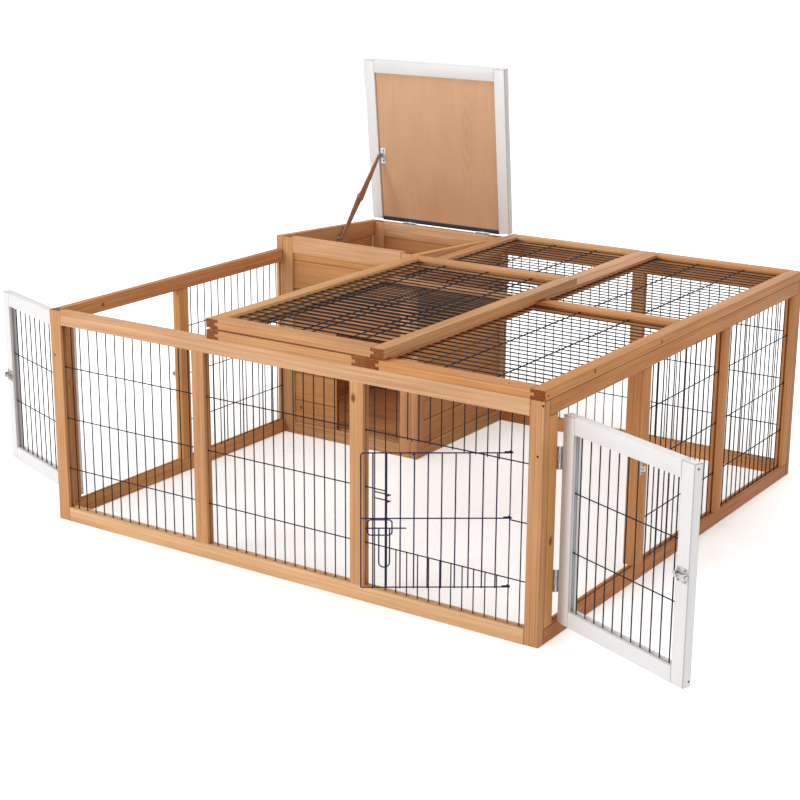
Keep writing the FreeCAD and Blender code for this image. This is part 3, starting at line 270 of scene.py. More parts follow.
# %% Make a planed piece of a node
def planed(node, finish, ease, **growth):
    """Replaces a timber node by its planks with eased edges and their own grain."""
    chance = random.Random(node)
    planks = []
    for points, faces in planks_of(frame["nodes"][node].data):
        mesh = bpy.data.meshes.new(f"{node}_plank")
        mesh.from_pydata(points, [], faces)
        plank = bpy.data.objects.new(mesh.name, mesh)
        bpy.context.scene.collection.objects.link(plank)
        alone(plank)
        bpy.ops.object.mode_set(mode="EDIT")
        bpy.ops.mesh.select_all(action="SELECT")
        bpy.ops.mesh.dissolve_limited(angle_limit=math.radians(1))
        bpy.ops.object.mode_set(mode="OBJECT")
        eased = plank.modifiers.new("Eased edges", "BEVEL")
        eased.width, eased.segments = ease, 2
        eased.limit_method, eased.angle_limit = "ANGLE", math.radians(40)
        bpy.ops.object.modifier_apply(modifier=eased.name)
        for place, way in HOLES.get(node, []):
            drill(plank, place, way)
        write_grain(plank.data, chance, **growth)
        planks.append(plank)
    alone(planks[0])
    for plank in planks:
        plank.select_set(True)
    if len(planks) > 1:
        bpy.ops.object.join()
    piece = bpy.context.view_layer.objects.active
    bpy.ops.object.shade_smooth_by_angle(angle=math.radians(35))
    piece.name = piece.data.name = f"{node}_planed"
    piece.data.materials.append(finish)
    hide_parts(node)
    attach(piece, bodies[node])
    return piece


def nodes_in(slot):
    """Names of the nodes that the part's record puts in a material slot."""
    return [part["node"] for part in frame["record"]["subparts"] if part["material_slot"] == slot]


print("fir nodes:", ", ".join(nodes_in("fir")))

# %% [markdown]
# ## Honey-stained fir
# The frame is planed fir under a thin honey stain. Fir shows pale early wood that darkens across each
# yearly ring to a brown line and then starts pale again, which a saw-shaped wave of rings about the heart
# gives. Fine fibres run along the plank, broad clouds of stain make one stretch warmer than the next, and
# the sawn ends drink the stain and turn dark brown. The eased edges are drawn a little darker, a painted
# shade line like the shadow in the seams between sticks. Here and there a small knot shows, and a few
# larger ones have a known place.

# %% Fir finish
RING = 5.5 * MM
# The fibres of fir are under a tenth of a millimetre wide: drawn 3 mm wide, so that they show.
FIBRE = 3 * MM
# All of the figure changes slowly along the plank: rings and fibres by these shares of the change across it.
RING_DRIFT, FIBRE_DRIFT = 0.06, 0.02
CLOUD_LONG, CLOUD_WIDE = 250 * MM, 40 * MM
# Small knots lie about six to the metre along a plank and a tenth of a metre apart across the tree.
KNOT, KNOTS_LONG, KNOTS_WIDE = 5 * MM, 1000 / 6 * MM, 100 * MM
# Length of one wave of the Wave texture at scale 1.
WAVE = 2 * math.pi / 20
# How much the ring lines and the fibres darken the wood.
LATE_WOOD, STREAKS = 0.32, 0.45
# Brightness of a plank: its mean, and what its own tone, the painted shade on its eased edges and its
# clouds add to that.
BRIGHT, BY_TONE, BY_EDGE_SHADE, BY_CLOUD = 0.75, 0.09, -0.2, 0.5
HUE, HUE_BY_TONE = 0.499, 0.005
# How far the roughness strays to both sides from fibre to fibre.
STRAY = 0.1


def stained_wood(name, pale, dark, ends, rough, knots=()):
    """Stained softwood: warm ring lines, streaks along the plank, soft sheen, dark open ends."""
    finish, tree = new_finish(name)
    grain = add_node(tree, "ShaderNodeAttribute", {"attribute_name": "grain"}).outputs["Vector"]
    tone = add_node(tree, "ShaderNodeAttribute", {"attribute_name": "tone"}).outputs["Fac"]
    cut = add_node(tree, "ShaderNodeAttribute", {"attribute_name": "end_grain"}).outputs["Fac"]
    edge = add_node(tree, "ShaderNodeAttribute", {"attribute_name": "eased"}).outputs["Fac"]
    slow = add_node(tree, "ShaderNodeMapping", feeds={"Vector": grain, "Scale": (RING_DRIFT, 1, 1)})
    rings = add_node(tree, "ShaderNodeTexWave",
                     {"wave_type": "RINGS", "rings_direction": "X", "wave_profile": "SAW"},
                     {"Vector": slow.outputs[0], "Scale": WAVE / RING, "Distortion": 5, "Detail": 2,
                      "Detail Scale": 0.7})
    stretch = add_node(tree, "ShaderNodeMapping",
                       feeds={"Vector": grain, "Scale": (FIBRE_DRIFT / FIBRE, 1 / FIBRE, 1 / FIBRE)})
    fibres = add_node(tree, "ShaderNodeTexNoise",
                      feeds={"Vector": stretch.outputs[0], "Scale": 1, "Detail": 3})
    wide = add_node(tree, "ShaderNodeMapping",
                    feeds={"Vector": grain, "Scale": (1 / CLOUD_LONG, 1 / CLOUD_WIDE, 1 / CLOUD_WIDE)})
    clouds = add_node(tree, "ShaderNodeTexNoise", feeds={"Vector": wide.outputs[0], "Scale": 1, "Detail": 2})
    late = add_node(tree, "ShaderNodeMath", {"operation": "MULTIPLY"},
                    {0: rings.outputs["Fac"], 1: LATE_WOOD})
    streak = add_node(tree, "ShaderNodeMapRange",
                      feeds={"Value": fibres.outputs["Fac"], "From Min": 0.3, "From Max": 0.7,
                             "To Min": 0.0, "To Max": STREAKS})
    amount = add_node(tree, "ShaderNodeMath", {"operation": "ADD"},
                      {0: late.outputs[0], 1: streak.outputs[0]})
    wood = add_node(tree, "ShaderNodeMix", {"data_type": "RGBA"},
                    {0: amount.outputs[0], FROM: linear(pale), TO: linear(dark)})
    bright = add_node(tree, "ShaderNodeMath", {"operation": "MULTIPLY_ADD"},
                      {0: tone, 1: BY_TONE, 2: BRIGHT})
    # Painted shade: the eased edges are darkened.
    edge_shaded_value = add_node(tree, "ShaderNodeMath", {"operation": "MULTIPLY_ADD"},
                      {0: edge, 1: BY_EDGE_SHADE, 2: bright.outputs[0]})
    value = add_node(tree, "ShaderNodeMath", {"operation": "MULTIPLY_ADD"},
                     {0: clouds.outputs["Fac"], 1: BY_CLOUD, 2: edge_shaded_value.outputs[0]})
    hue = add_node(tree, "ShaderNodeMath", {"operation": "MULTIPLY_ADD"}, {0: tone, 1: HUE_BY_TONE, 2: HUE})
    stained = add_node(tree, "ShaderNodeHueSaturation",
                       feeds={"Color": wood.outputs[MIXED], "Value": value.outputs[0],
                              "Hue": hue.outputs[0]})
    sparse = add_node(tree, "ShaderNodeMapping",
                      feeds={"Vector": grain, "Scale": (1 / KNOTS_LONG, 1 / KNOTS_WIDE, 1 / KNOTS_WIDE)})
    hearts = add_node(tree, "ShaderNodeTexVoronoi", feeds={"Vector": sparse.outputs[0], "Scale": 1})
    knot = add_node(tree, "ShaderNodeMapRange", {"interpolation_type": "SMOOTHSTEP"},
                    {"Value": hearts.outputs["Distance"], "From Min": KNOT / 2 / KNOTS_WIDE,
                     "From Max": 1.5 * KNOT / KNOTS_WIDE, "To Min": 0.85, "To Max": 0.0})
    knotted = add_node(tree, "ShaderNodeMix", {"data_type": "RGBA"},
                       {0: knot.outputs[0], FROM: stained.outputs[0], TO: linear(ends)})
    where = add_node(tree, "ShaderNodeTexCoord").outputs["Object"]
    for place in knots:
        away = add_node(tree, "ShaderNodeVectorMath", {"operation": "DISTANCE"},
                        {0: where, 1: Vector(place) * MM})
        dark_core = add_node(tree, "ShaderNodeMapRange", {"interpolation_type": "SMOOTHSTEP"},
                             {"Value": away.outputs["Value"], "From Min": 0.4 * KNOT, "From Max": 1.2 * KNOT,
                              "To Min": 0.8, "To Max": 0.0})
        knotted = add_node(tree, "ShaderNodeMix", {"data_type": "RGBA"},
                           {0: dark_core.outputs[0], FROM: knotted.outputs[MIXED], TO: linear(ends)})
    pores = add_node(tree, "ShaderNodeMapRange",
                     feeds={"Value": amount.outputs[0], "From Max": 0.7, "To Min": 0.25, "To Max": 1.0})
    sawn = add_node(tree, "ShaderNodeMix", {"data_type": "RGBA"},
                    {0: pores.outputs[0], FROM: linear(dark), TO: linear(ends)})
    colour = add_node(tree, "ShaderNodeMix", {"data_type": "RGBA"},
                      {0: cut, FROM: knotted.outputs[MIXED], TO: sawn.outputs[MIXED]})
    sheen = add_node(tree, "ShaderNodeMapRange",
                     feeds={"Value": fibres.outputs["Fac"], "To Min": rough - STRAY,
                            "To Max": rough + STRAY})
    relief = add_node(tree, "ShaderNodeBump", feeds={"Height": amount.outputs[0], "Strength": 0.25,
                                                    "Distance": 0.3 * MM})
    shader = add_node(tree, "ShaderNodeBsdfPrincipled",
                      feeds={"Base Color": colour.outputs[MIXED], "Roughness": sheen.outputs[0],
                             "Normal": relief.outputs[0], "Specular IOR Level": 0.06})
    add_node(tree, "ShaderNodeOutputMaterial", feeds={"Surface": shader.outputs[0]})
    return finish


# Paler and deeper copies of one stain paint light and shade: the pale copy paints the strong light on the
# front rails and the box's cross rails, and the deep copy paints the shade along the side and back walls.
painted_light_fir = stained_wood("Fir, honey stain, painted light", "#EBC39A", "#C58D5E", "#713B1E", rough=0.5)
fir = stained_wood("Fir, honey stain", "#E2B382", "#B87A48", "#713B1E", rough=0.5)
# Four larger knots have a known place, in millimetres: two in the side of the right roof panel, and one
# each in the left top rail and the jamb of the right door.
WALL_KNOTS = [(580, 169.6, 468), (580, 439.5, 464.5), (-561.5, 129, 440), (580, 364.5, 326)]
painted_shade_fir = stained_wood("Fir, honey stain, painted shade", "#DDA56F", "#B26C3E", "#6B351A", rough=0.5,
                        knots=WALL_KNOTS)
# Nodes that take the painted light, and the starts of the names of the nodes that take the painted shade.
PAINTED_LIGHT_NODES = ("front_top_rail", "front_bottom_rail", "box_cross_rails")
PAINTED_SHADE_PREFIXES = ("right_", "left_", "back_")
print(fir.name, len(fir.node_tree.nodes), "shader nodes")

# %% Finish the frame timber
EASE = 1.6 * MM
# The upper ends of the box's sloped rails are planed and sealed with the face of the stiles beside them.
SEALED = {"box_sloped_rails": 0.0}
for node in nodes_in("fir"):
    shade = painted_light_fir if node in PAINTED_LIGHT_NODES else painted_shade_fir if node.startswith(PAINTED_SHADE_PREFIXES) else fir
    planed(node, shade, EASE, open_ends=SEALED.get(node, 1.0))

# %% [markdown]
# ## Boards of the shelter box
# The box is closed with thin tongued boards of the same fir, laid level. They take the same finish a
# little duller, because boards this thin are not sanded as finely as the frame, and a little deeper, which
# is painted shade on the box.

# %% Finish the boards
# One larger knot sits in a front board.
BOARD_KNOTS = [(-515, 752, 67.7)]
# Painted shade: the colours of the boards are deeper than those of the frame.
painted_shade_board_fir = stained_wood("Stained fir boards, painted shade", "#DBA570", "#AC6B3F", "#713B1E", rough=0.58,
                         knots=BOARD_KNOTS)
BOARD_EASE = 0.8 * MM
boards = [planed(node, painted_shade_board_fir, BOARD_EASE) for node in nodes_in("board")]
print(len(boards), "boarded walls and floors")

# %% [markdown]
# ## White painted doors and lid frame
# The doors and the lid's frame are the same fir under opaque white paint. Paint levels most of the grain,
# but a faint ribbing of the fibres and slow changes of tone are left, and the film has a satin gloss. The
# eased edges are drawn as soft grey lines, painted shade that outlines the white frames.

# %% White paint
# The ribs drift along the plank by this share, and the tone changes about nine times in a metre.
RIB_DRIFT = 0.03
PAINT_LONG, PAINT_WIDE = 1000 / 9 * MM, 100 / 3 * MM


def satin_paint(name, colour, shade, thin):
    """Satin paint over wood: even colour, faint ribs along the plank, soft wide highlights, and painted
    shade on the eased edges.
    """
    finish, tree = new_finish(name)
    grain = add_node(tree, "ShaderNodeAttribute", {"attribute_name": "grain"}).outputs["Vector"]
    stretch = add_node(tree, "ShaderNodeMapping",
                       feeds={"Vector": grain, "Scale": (RIB_DRIFT / FIBRE, 1 / FIBRE, 1 / FIBRE)})
    ribs = add_node(tree, "ShaderNodeTexNoise",
                    feeds={"Vector": stretch.outputs[0], "Scale": 1, "Detail": 3})
    wide = add_node(tree, "ShaderNodeMapping",
                    feeds={"Vector": grain, "Scale": (1 / PAINT_LONG, 1 / PAINT_WIDE, 1 / PAINT_WIDE)})
    clouds = add_node(tree, "ShaderNodeTexNoise", feeds={"Vector": wide.outputs[0], "Scale": 1, "Detail": 2})
    both = add_node(tree, "ShaderNodeMath", {"operation": "MULTIPLY"},
                    {0: ribs.outputs["Fac"], 1: clouds.outputs["Fac"]})
    film = add_node(tree, "ShaderNodeMix", {"data_type": "RGBA"},
                    {0: both.outputs[0], FROM: linear(colour), TO: linear(shade)})
    edge = add_node(tree, "ShaderNodeAttribute", {"attribute_name": "eased"}).outputs["Fac"]
    # Painted shade: soft grey lines on the eased edges.
    edge_shaded_film = add_node(tree, "ShaderNodeMix", {"data_type": "RGBA"},
                    {0: edge, FROM: film.outputs[MIXED], TO: linear(thin)})
    gloss = add_node(tree, "ShaderNodeMapRange",
                     feeds={"Value": ribs.outputs["Fac"], "To Min": 0.38, "To Max": 0.55})
    relief = add_node(tree, "ShaderNodeBump", feeds={"Height": ribs.outputs["Fac"], "Strength": 0.1,
                                                    "Distance": 0.2 * MM})
    shader = add_node(tree, "ShaderNodeBsdfPrincipled",
                      feeds={"Base Color": edge_shaded_film.outputs[MIXED], "Roughness": gloss.outputs[0],
                             "Normal": relief.outputs[0]})
    add_node(tree, "ShaderNodeOutputMaterial", feeds={"Surface": shader.outputs[0]})
    return finish


white_paint = satin_paint("White satin paint on fir", "#F4F5F7", "#E6E8EA", "#C4C6C8")
painted = [planed(node, white_paint, EASE) for node in nodes_in("white_paint")]
print("painted:", ", ".join(piece.name for piece in painted))

# %% [markdown]
# ## The lid's plywood panel
# The panel is a sheet of plywood whose face veneer was peeled from a turning log. Peeling cuts the rings
# at a flat angle, so the figure is broad and faint, and it runs the long way of the lid. A soft noise
# stretched along the lid gives that figure without hard lines. In one place the blade crossed a bulge of
# the log and left a few nested arches, which are long ellipses about a point in the panel's upper right.

# %% Plywood finish
FIGURE, FIGURE_DRIFT, VENEER_DRIFT = 45 * MM, 0.25, 0.03
# The arches, and the way from their middle to the middle of the panel.
ARCH, ARCH_DRIFT, ARCH_WAY = 9 * MM, 0.2, (-7 * MM, 88 * MM, 0)
# They are clear up to the first distance and gone at the second.
ARCH_CLEAR, ARCH_GONE = 8 * MM, 34 * MM
# How much the fibres, the broad figure and the arches darken the veneer.
BY_FIBRES, BY_FIGURE, BY_ARCHES = 0.35, 0.5, 0.24


def peeled_veneer(name, pale, dark):
    """Bare peeled veneer: pinkish tan, broad faint figure with one group of arches, dry matt surface."""
    finish, tree = new_finish(name)
    grain = add_node(tree, "ShaderNodeAttribute", {"attribute_name": "grain"}).outputs["Vector"]
    stretch = add_node(tree, "ShaderNodeMapping",
                       feeds={"Vector": grain, "Scale": (FIGURE_DRIFT / FIGURE, 1 / FIGURE, 0)})
    figure = add_node(tree, "ShaderNodeTexNoise",
                      feeds={"Vector": stretch.outputs[0], "Scale": 1, "Detail": 2, "Distortion": 0.6})
    fine = add_node(tree, "ShaderNodeMapping",
                    feeds={"Vector": grain, "Scale": (VENEER_DRIFT / FIBRE, 1 / FIBRE, 0)})
    fibres = add_node(tree, "ShaderNodeTexNoise", feeds={"Vector": fine.outputs[0], "Scale": 1, "Detail": 3})
    arch_place = add_node(tree, "ShaderNodeMapping",
                          feeds={"Vector": grain, "Location": ARCH_WAY, "Scale": (ARCH_DRIFT, 1, 0)})
    arches = add_node(tree, "ShaderNodeTexWave", {"wave_type": "RINGS", "rings_direction": "Z"},
                      {"Vector": arch_place.outputs[0], "Scale": WAVE / ARCH, "Distortion": 1.5, "Detail": 1,
                       "Detail Scale": 3})
    near = add_node(tree, "ShaderNodeVectorMath", {"operation": "LENGTH"}, {0: arch_place.outputs[0]})
    shown = add_node(tree, "ShaderNodeMapRange", {"interpolation_type": "SMOOTHSTEP"},
                     {"Value": near.outputs["Value"], "From Min": ARCH_CLEAR, "From Max": ARCH_GONE,
                      "To Min": BY_ARCHES, "To Max": 0.0})
    arch = add_node(tree, "ShaderNodeMath", {"operation": "MULTIPLY"},
                    {0: arches.outputs["Fac"], 1: shown.outputs[0]})
    both = add_node(tree, "ShaderNodeMath", {"operation": "MULTIPLY_ADD"},
                    {0: fibres.outputs["Fac"], 1: BY_FIBRES, 2: arch.outputs[0]})
    amount = add_node(tree, "ShaderNodeMath", {"operation": "MULTIPLY_ADD"},
                      {0: figure.outputs["Fac"], 1: BY_FIGURE, 2: both.outputs[0]})
    veneer = add_node(tree, "ShaderNodeMix", {"data_type": "RGBA"},
                      {0: amount.outputs[0], FROM: linear(pale), TO: linear(dark)})
    relief = add_node(tree, "ShaderNodeBump", feeds={"Height": fibres.outputs["Fac"], "Strength": 0.1,
                                                    "Distance": 0.2 * MM})
    shader = add_node(tree, "ShaderNodeBsdfPrincipled",
                      feeds={"Base Color": veneer.outputs[MIXED], "Roughness": 0.6,
                             "Normal": relief.outputs[0], "Specular IOR Level": 0.2})
    add_node(tree, "ShaderNodeOutputMaterial", feeds={"Surface": shader.outputs[0]})
    return finish


plywood = peeled_veneer("Peeled veneer plywood", "#E8BD98", "#C6946C")
lid_low, lid_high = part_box("lid_panel")
lid_way = Vector((0, lid_low.y - lid_high.y, lid_high.z - lid_low.z)).normalized()
PANEL_EASE = 0.5 * MM
lid_panel = planed("lid_panel", plywood, PANEL_EASE, along=lid_way, heart=[0.0, 0.0, 0.0], open_ends=0.0)
print("lid panel runs along", [round(part, 3) for part in lid_way])

# %% [markdown]
# ## Coated wire
# The mesh is steel wire, welded and then dipped in black plastic. The coat is smooth with a slight sag,
# so light breaks on it in a faint line. The little wire door and its bolt were dipped in another
# bath, with a navy cast. These nodes keep the part's own shape, and only get the finish.

# %% Wire finishes
SAG = 6 * MM


def dipped_coat(name, colour, light):
    """Dipped plastic on wire: nearly black, satin, slightly uneven in gloss and colour."""
    finish, tree = new_finish(name)
    where = add_node(tree, "ShaderNodeTexCoord").outputs["Object"]
    sag = add_node(tree, "ShaderNodeTexNoise", feeds={"Vector": where, "Scale": 1 / SAG, "Detail": 2})
    coat = add_node(tree, "ShaderNodeMix", {"data_type": "RGBA"},
                    {0: sag.outputs["Fac"], FROM: linear(colour), TO: linear(light)})
    gloss = add_node(tree, "ShaderNodeMapRange",
                     feeds={"Value": sag.outputs["Fac"], "To Min": 0.42, "To Max": 0.62})
    shader = add_node(tree, "ShaderNodeBsdfPrincipled",
                      feeds={"Base Color": coat.outputs[MIXED], "Roughness": gloss.outputs[0],
                             "Specular IOR Level": 0.1})
    add_node(tree, "ShaderNodeOutputMaterial", feeds={"Surface": shader.outputs[0]})
    return finish


black_coat = dipped_coat("Black dipped wire", "#201F23", "#35343A")
navy_coat = dipped_coat("Navy dipped wire", "#1A1B3A", "#2E3258")


def dress(node, finish):
    """Gives a CAD node its finish."""
    slots = frame["nodes"][node].data.materials
    slots.clear()
    slots.append(finish)


for node in nodes_in("coated_wire"):
    dress(node, navy_coat if node.startswith("wire_door") else black_coat)
print("wire:", ", ".join(nodes_in("coated_wire")))

# %% [markdown]
# ## Zinc, bronze and rubber
# Hinges, latches, the corner plate and the plates of the lid's stay are zinc-plated steel, dull silver with
# faint crystals. The arms of the stay are steel with a brown bronze lacquer, and the strip along the lid's
# hinge edge is black rubber.

# %% Metal and rubber finishes
# A cloud in the plating is this many crystals wide, and the roughness strays this far between crystals.
CLOUD_CRYSTALS, CRYSTAL_STRAY = 5, 0.08


def plated(name, colour, shade, rough, metallic, crystal):
    """Plated or lacquered steel: cloudy reflections that change from crystal to crystal."""
    finish, tree = new_finish(name)
    where = add_node(tree, "ShaderNodeTexCoord").outputs["Object"]
    cells = add_node(tree, "ShaderNodeTexVoronoi", feeds={"Vector": where, "Scale": 1 / crystal})
    flakes = add_node(tree, "ShaderNodeSeparateColor", feeds={"Color": cells.outputs["Color"]})
    cloud = add_node(tree, "ShaderNodeTexNoise",
                     feeds={"Vector": where, "Scale": 1 / (CLOUD_CRYSTALS * crystal), "Detail": 3})
    skin = add_node(tree, "ShaderNodeMix", {"data_type": "RGBA"},
                    {0: cloud.outputs["Fac"], FROM: linear(colour), TO: linear(shade)})
    gloss = add_node(tree, "ShaderNodeMapRange",
                     feeds={"Value": flakes.outputs[0], "To Min": rough - CRYSTAL_STRAY,
                            "To Max": rough + CRYSTAL_STRAY})
    shader = add_node(tree, "ShaderNodeBsdfPrincipled",
                      feeds={"Base Color": skin.outputs[MIXED], "Metallic": metallic,
                             "Roughness": gloss.outputs[0]})
    add_node(tree, "ShaderNodeOutputMaterial", feeds={"Surface": shader.outputs[0]})
    return finish


zinc = plated("Zinc plated steel", "#C4C6C8", "#A5A8AC", rough=0.36, metallic=1.0, crystal=1.5 * MM)
bronze = plated("Bronze lacquered steel", "#BC967C", "#97705A", rough=0.4, metallic=0.2, crystal=2 * MM)
# Rubber takes the same tree with no metal in it, and the crystals stand for its fine grain.
rubber = plated("Black rubber", "#141A26", "#20283A", rough=0.6, metallic=0.0, crystal=1 * MM)
for slot, finish in (("zinc", zinc), ("bronze", bronze), ("strip", rubber)):
    for node in nodes_in(slot):
        dress(node, finish)
print("zinc:", ", ".join(nodes_in("zinc")))

# %% [markdown]
# ## Screw heads
# The latches, catches and hinges are held by small screws with a cross in the head. One head is modelled
# from a cylinder: its rim is bevelled to a low dome, and a cross, made from a cube whose sides are
# extruded, is cut out of it. It is then copied to every place, turned by chance as real screws are.

# %% Model one screw head
HEAD, HEAD_HIGH = 2.2 * MM, 1.1 * MM
CROSS_WIDE, CROSS_ARM, CROSS_DEEP = 0.6 * MM, 0.9 * MM, 0.6 * MM
bpy.ops.object.select_all(action="DESELECT")
bpy.ops.mesh.primitive_cylinder_add(vertices=20, radius=HEAD, depth=HEAD_HIGH,
                                    location=(0, 0, HEAD_HIGH / 2))
head_model = bpy.context.active_object
bpy.ops.object.transform_apply(location=True)
bpy.ops.object.mode_set(mode="EDIT")
bpy.ops.mesh.select_all(action="DESELECT")
bpy.ops.object.mode_set(mode="OBJECT")
for face in head_model.data.polygons:
    face.select = face.normal.z > 0.9
bpy.ops.object.mode_set(mode="EDIT")
bpy.ops.mesh.bevel(offset=0.8 * HEAD_HIGH, segments=3, affect="EDGES")
bpy.ops.object.mode_set(mode="OBJECT")
bpy.ops.object.select_all(action="DESELECT")
bpy.ops.mesh.primitive_cube_add(size=CROSS_WIDE, location=(0, 0, HEAD_HIGH + CROSS_WIDE / 2 - CROSS_DEEP))
cross = bpy.context.active_object
bpy.ops.object.transform_apply(location=True)
for face in cross.data.polygons:
    face.select = abs(face.normal.z) < 0.1
bpy.ops.object.mode_set(mode="EDIT")
bpy.ops.mesh.select_mode(type="FACE")
bpy.ops.mesh.extrude_faces_move(TRANSFORM_OT_shrink_fatten={"value": -CROSS_ARM})
bpy.ops.object.mode_set(mode="OBJECT")
alone(head_model)
recess = head_model.modifiers.new("Cross recess", "BOOLEAN")
recess.object, recess.solver = cross, "EXACT"
bpy.ops.object.modifier_apply(modifier=recess.name)
bpy.ops.object.shade_smooth_by_angle(angle=math.radians(30))
bpy.data.objects.remove(cross)
print("screw head with", len(head_model.data.polygons), "faces")


# %% Set screws
def together(pieces, name, body, finish):
    """Joins pieces to one, which gets a name and a finish and moves with a body."""
    alone(pieces[0])
    for piece in pieces:
        piece.select_set(True)
    if len(pieces) > 1:
        bpy.ops.object.join()
    piece = bpy.context.view_layer.objects.active
    piece.name = piece.data.name = name
    piece.data.materials.append(finish)
    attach(piece, body)


def set_screws(name, body, finish, places, proud=1.0):
    """Copies the screw head to each place. Proud is how much of its height stands over the surface."""
    chance = random.Random(name)
    heads = []
    for place, way in places:
        head = bpy.data.objects.new(name, head_model.data.copy())
        bpy.context.scene.collection.objects.link(head)
        turn = way.to_track_quat("Z", "Y").to_matrix().to_4x4()
        turn = turn @ Matrix.Rotation(chance.uniform(0, math.pi), 4, "Z")
        head.data.transform(Matrix.Translation(place) @ turn @ Matrix.Diagonal((1, 1, proud, 1)))
        heads.append(head)
    together(heads, name, body, finish)


yellow_zinc = plated("Yellow passivated zinc", "#B0955C", "#8A6C38", rough=0.34, metallic=1.0,
                     crystal=1 * MM)
black_steel = plated("Black phosphated steel", "#2A2624", "#171514", rough=0.5, metallic=0.6,
                     crystal=1 * MM)
print("screws in", yellow_zinc.name, "and", black_steel.name)

# %% Latch screws
# In millimetres, as all places of screws below. The screws of a plate stand this far from its middle.
LATCH_Y, CATCH_Y, LATCH_Z = 352.75, 374.5, 230
SCREW_Y, SCREW_Z = 7.8, 9.7
WALL_X, LEAF = 580, 1.2
for body, side, turn in (("right_door", 1, RIGHT_DOOR), ("left_door", -1, LEFT_DOOR)):
    set_screws(f"{body}_latch_screws", body, yellow_zinc,
               [spot(side * (WALL_X + LEAF), LATCH_Y + y, LATCH_Z + z, side * ASIDE, turn)
                for y in (-SCREW_Y, SCREW_Y) for z in (-SCREW_Z, SCREW_Z)])
set_screws("catch_screws", "run", yellow_zinc,
           [spot(side * (WALL_X + LEAF), CATCH_Y, LATCH_Z + z, side * ASIDE)
            for side in (-1, 1) for z in (-SCREW_Z, SCREW_Z)])
print("latch and catch screws")

# %% [markdown]
# Hinge screws are countersunk: only a sliver of the head stands over the leaf, because the other leaf
# folds down on it. The heads are the same shape, pressed flat.

# %% Hinge screws
FLUSH = 0.3
LEAF_X, POST_Y, DOOR_Y = 574.6, 40.45, 41.55
DOOR_HINGES, DOOR_SCREW = [113, 342], 13
set_screws("post_hinge_screws", "run", zinc,
           [spot(side * LEAF_X, POST_Y, level + z, BACKWARD)
            for side in (-1, 1) for level in DOOR_HINGES for z in (-DOOR_SCREW, DOOR_SCREW)], FLUSH)
for body, side, turn in (("right_door", 1, RIGHT_DOOR), ("left_door", -1, LEFT_DOOR)):
    set_screws(f"{body}_hinge_screws", body, zinc,
               [spot(side * LEAF_X, DOOR_Y, level + z, -BACKWARD, turn)
                for level in DOOR_HINGES for z in (-DOOR_SCREW, DOOR_SCREW)], FLUSH)
ROOF_HINGES, ROOF_SCREW, ROOF_LEAF_X = [135.75, 569.75], 20, -156.1
LOWER_LEAF_Z, UPPER_LEAF_Z = 474.7, 475.8
for body, z, way in (("run", LOWER_LEAF_Z, UPWARD), ("folding_roof", UPPER_LEAF_Z, -UPWARD)):
    set_screws(f"{body}_roof_hinge_screws", body, zinc,
               [spot(ROOF_LEAF_X, level + y, z, way)
                for level in ROOF_HINGES for y in (-ROOF_SCREW, ROOF_SCREW)], FLUSH)
LID_HINGES, LID_SCREW = [-465, -249.5], 11
LID_SCREWS_X = [level + x for level in LID_HINGES for x in (-LID_SCREW, LID_SCREW)]
WALL_LEAF_Y, WALL_LEAF_Z, LID_LEAF_Y, LID_LEAF_Z = 1143.75, 465.2, 1151.95, 476.05
set_screws("lid_hinge_wall_screws", "run", zinc,
           [spot(x, WALL_LEAF_Y, WALL_LEAF_Z, UPWARD) for x in LID_SCREWS_X], FLUSH)
set_screws("lid_hinge_lid_screws", "lid", zinc,
           [spot(x, LID_LEAF_Y, LID_LEAF_Z, BACKWARD, LID) for x in LID_SCREWS_X], FLUSH)
print("hinge screws")

# %% [markdown]
# The stay's plates have black screws, and the same ones sit at the bottom of the drilled holes, where
# their black also paints the shade that fills a hole.

# %% Stay screws and sunk screws
HALF_SUNK = 0.6
STAY_X, STAY_Y, STAY_Z, STAY_SCREW = -538.8, 986.15, 469.4, 13
STAY_WALL_PLATE = -560.3, 975.75, 433
set_screws("stay_lid_screws", "lid", black_steel,
           [spot(STAY_X, STAY_Y + y, STAY_Z, -UPWARD, LID) for y in (-STAY_SCREW, STAY_SCREW)], HALF_SUNK)
set_screws("stay_wall_screw", "run", black_steel, [spot(*STAY_WALL_PLATE, ASIDE)], HALF_SUNK)
for body, nodes in (("run", ("front_corner_posts", "right_roof_frame", "box_stiles")),
                    ("right_door", ("right_door_frame",)), ("left_door", ("left_door_frame",)),
                    ("lid", ("lid_frame",))):
    # The black of the sunk heads is partly painted shade inside the holes.
    set_screws(f"{body}_sunk_screws", body, black_steel,
               [(place - HOLE_DEEP * way, way) for node in nodes for place, way in HOLES[node]])
bpy.data.objects.remove(head_model)
print("stay and sunk screws")

# %% [markdown]
# ## The lid's seal
# A soft strip along the lid's hinge edge hangs over the gap at the hinges. The part has it as a plain bar.
# Here a cube is scaled to the strip with its hanging lip, the long edges are rounded, and a row of cuts
# with bisect gives it the faces that a soft strip needs.

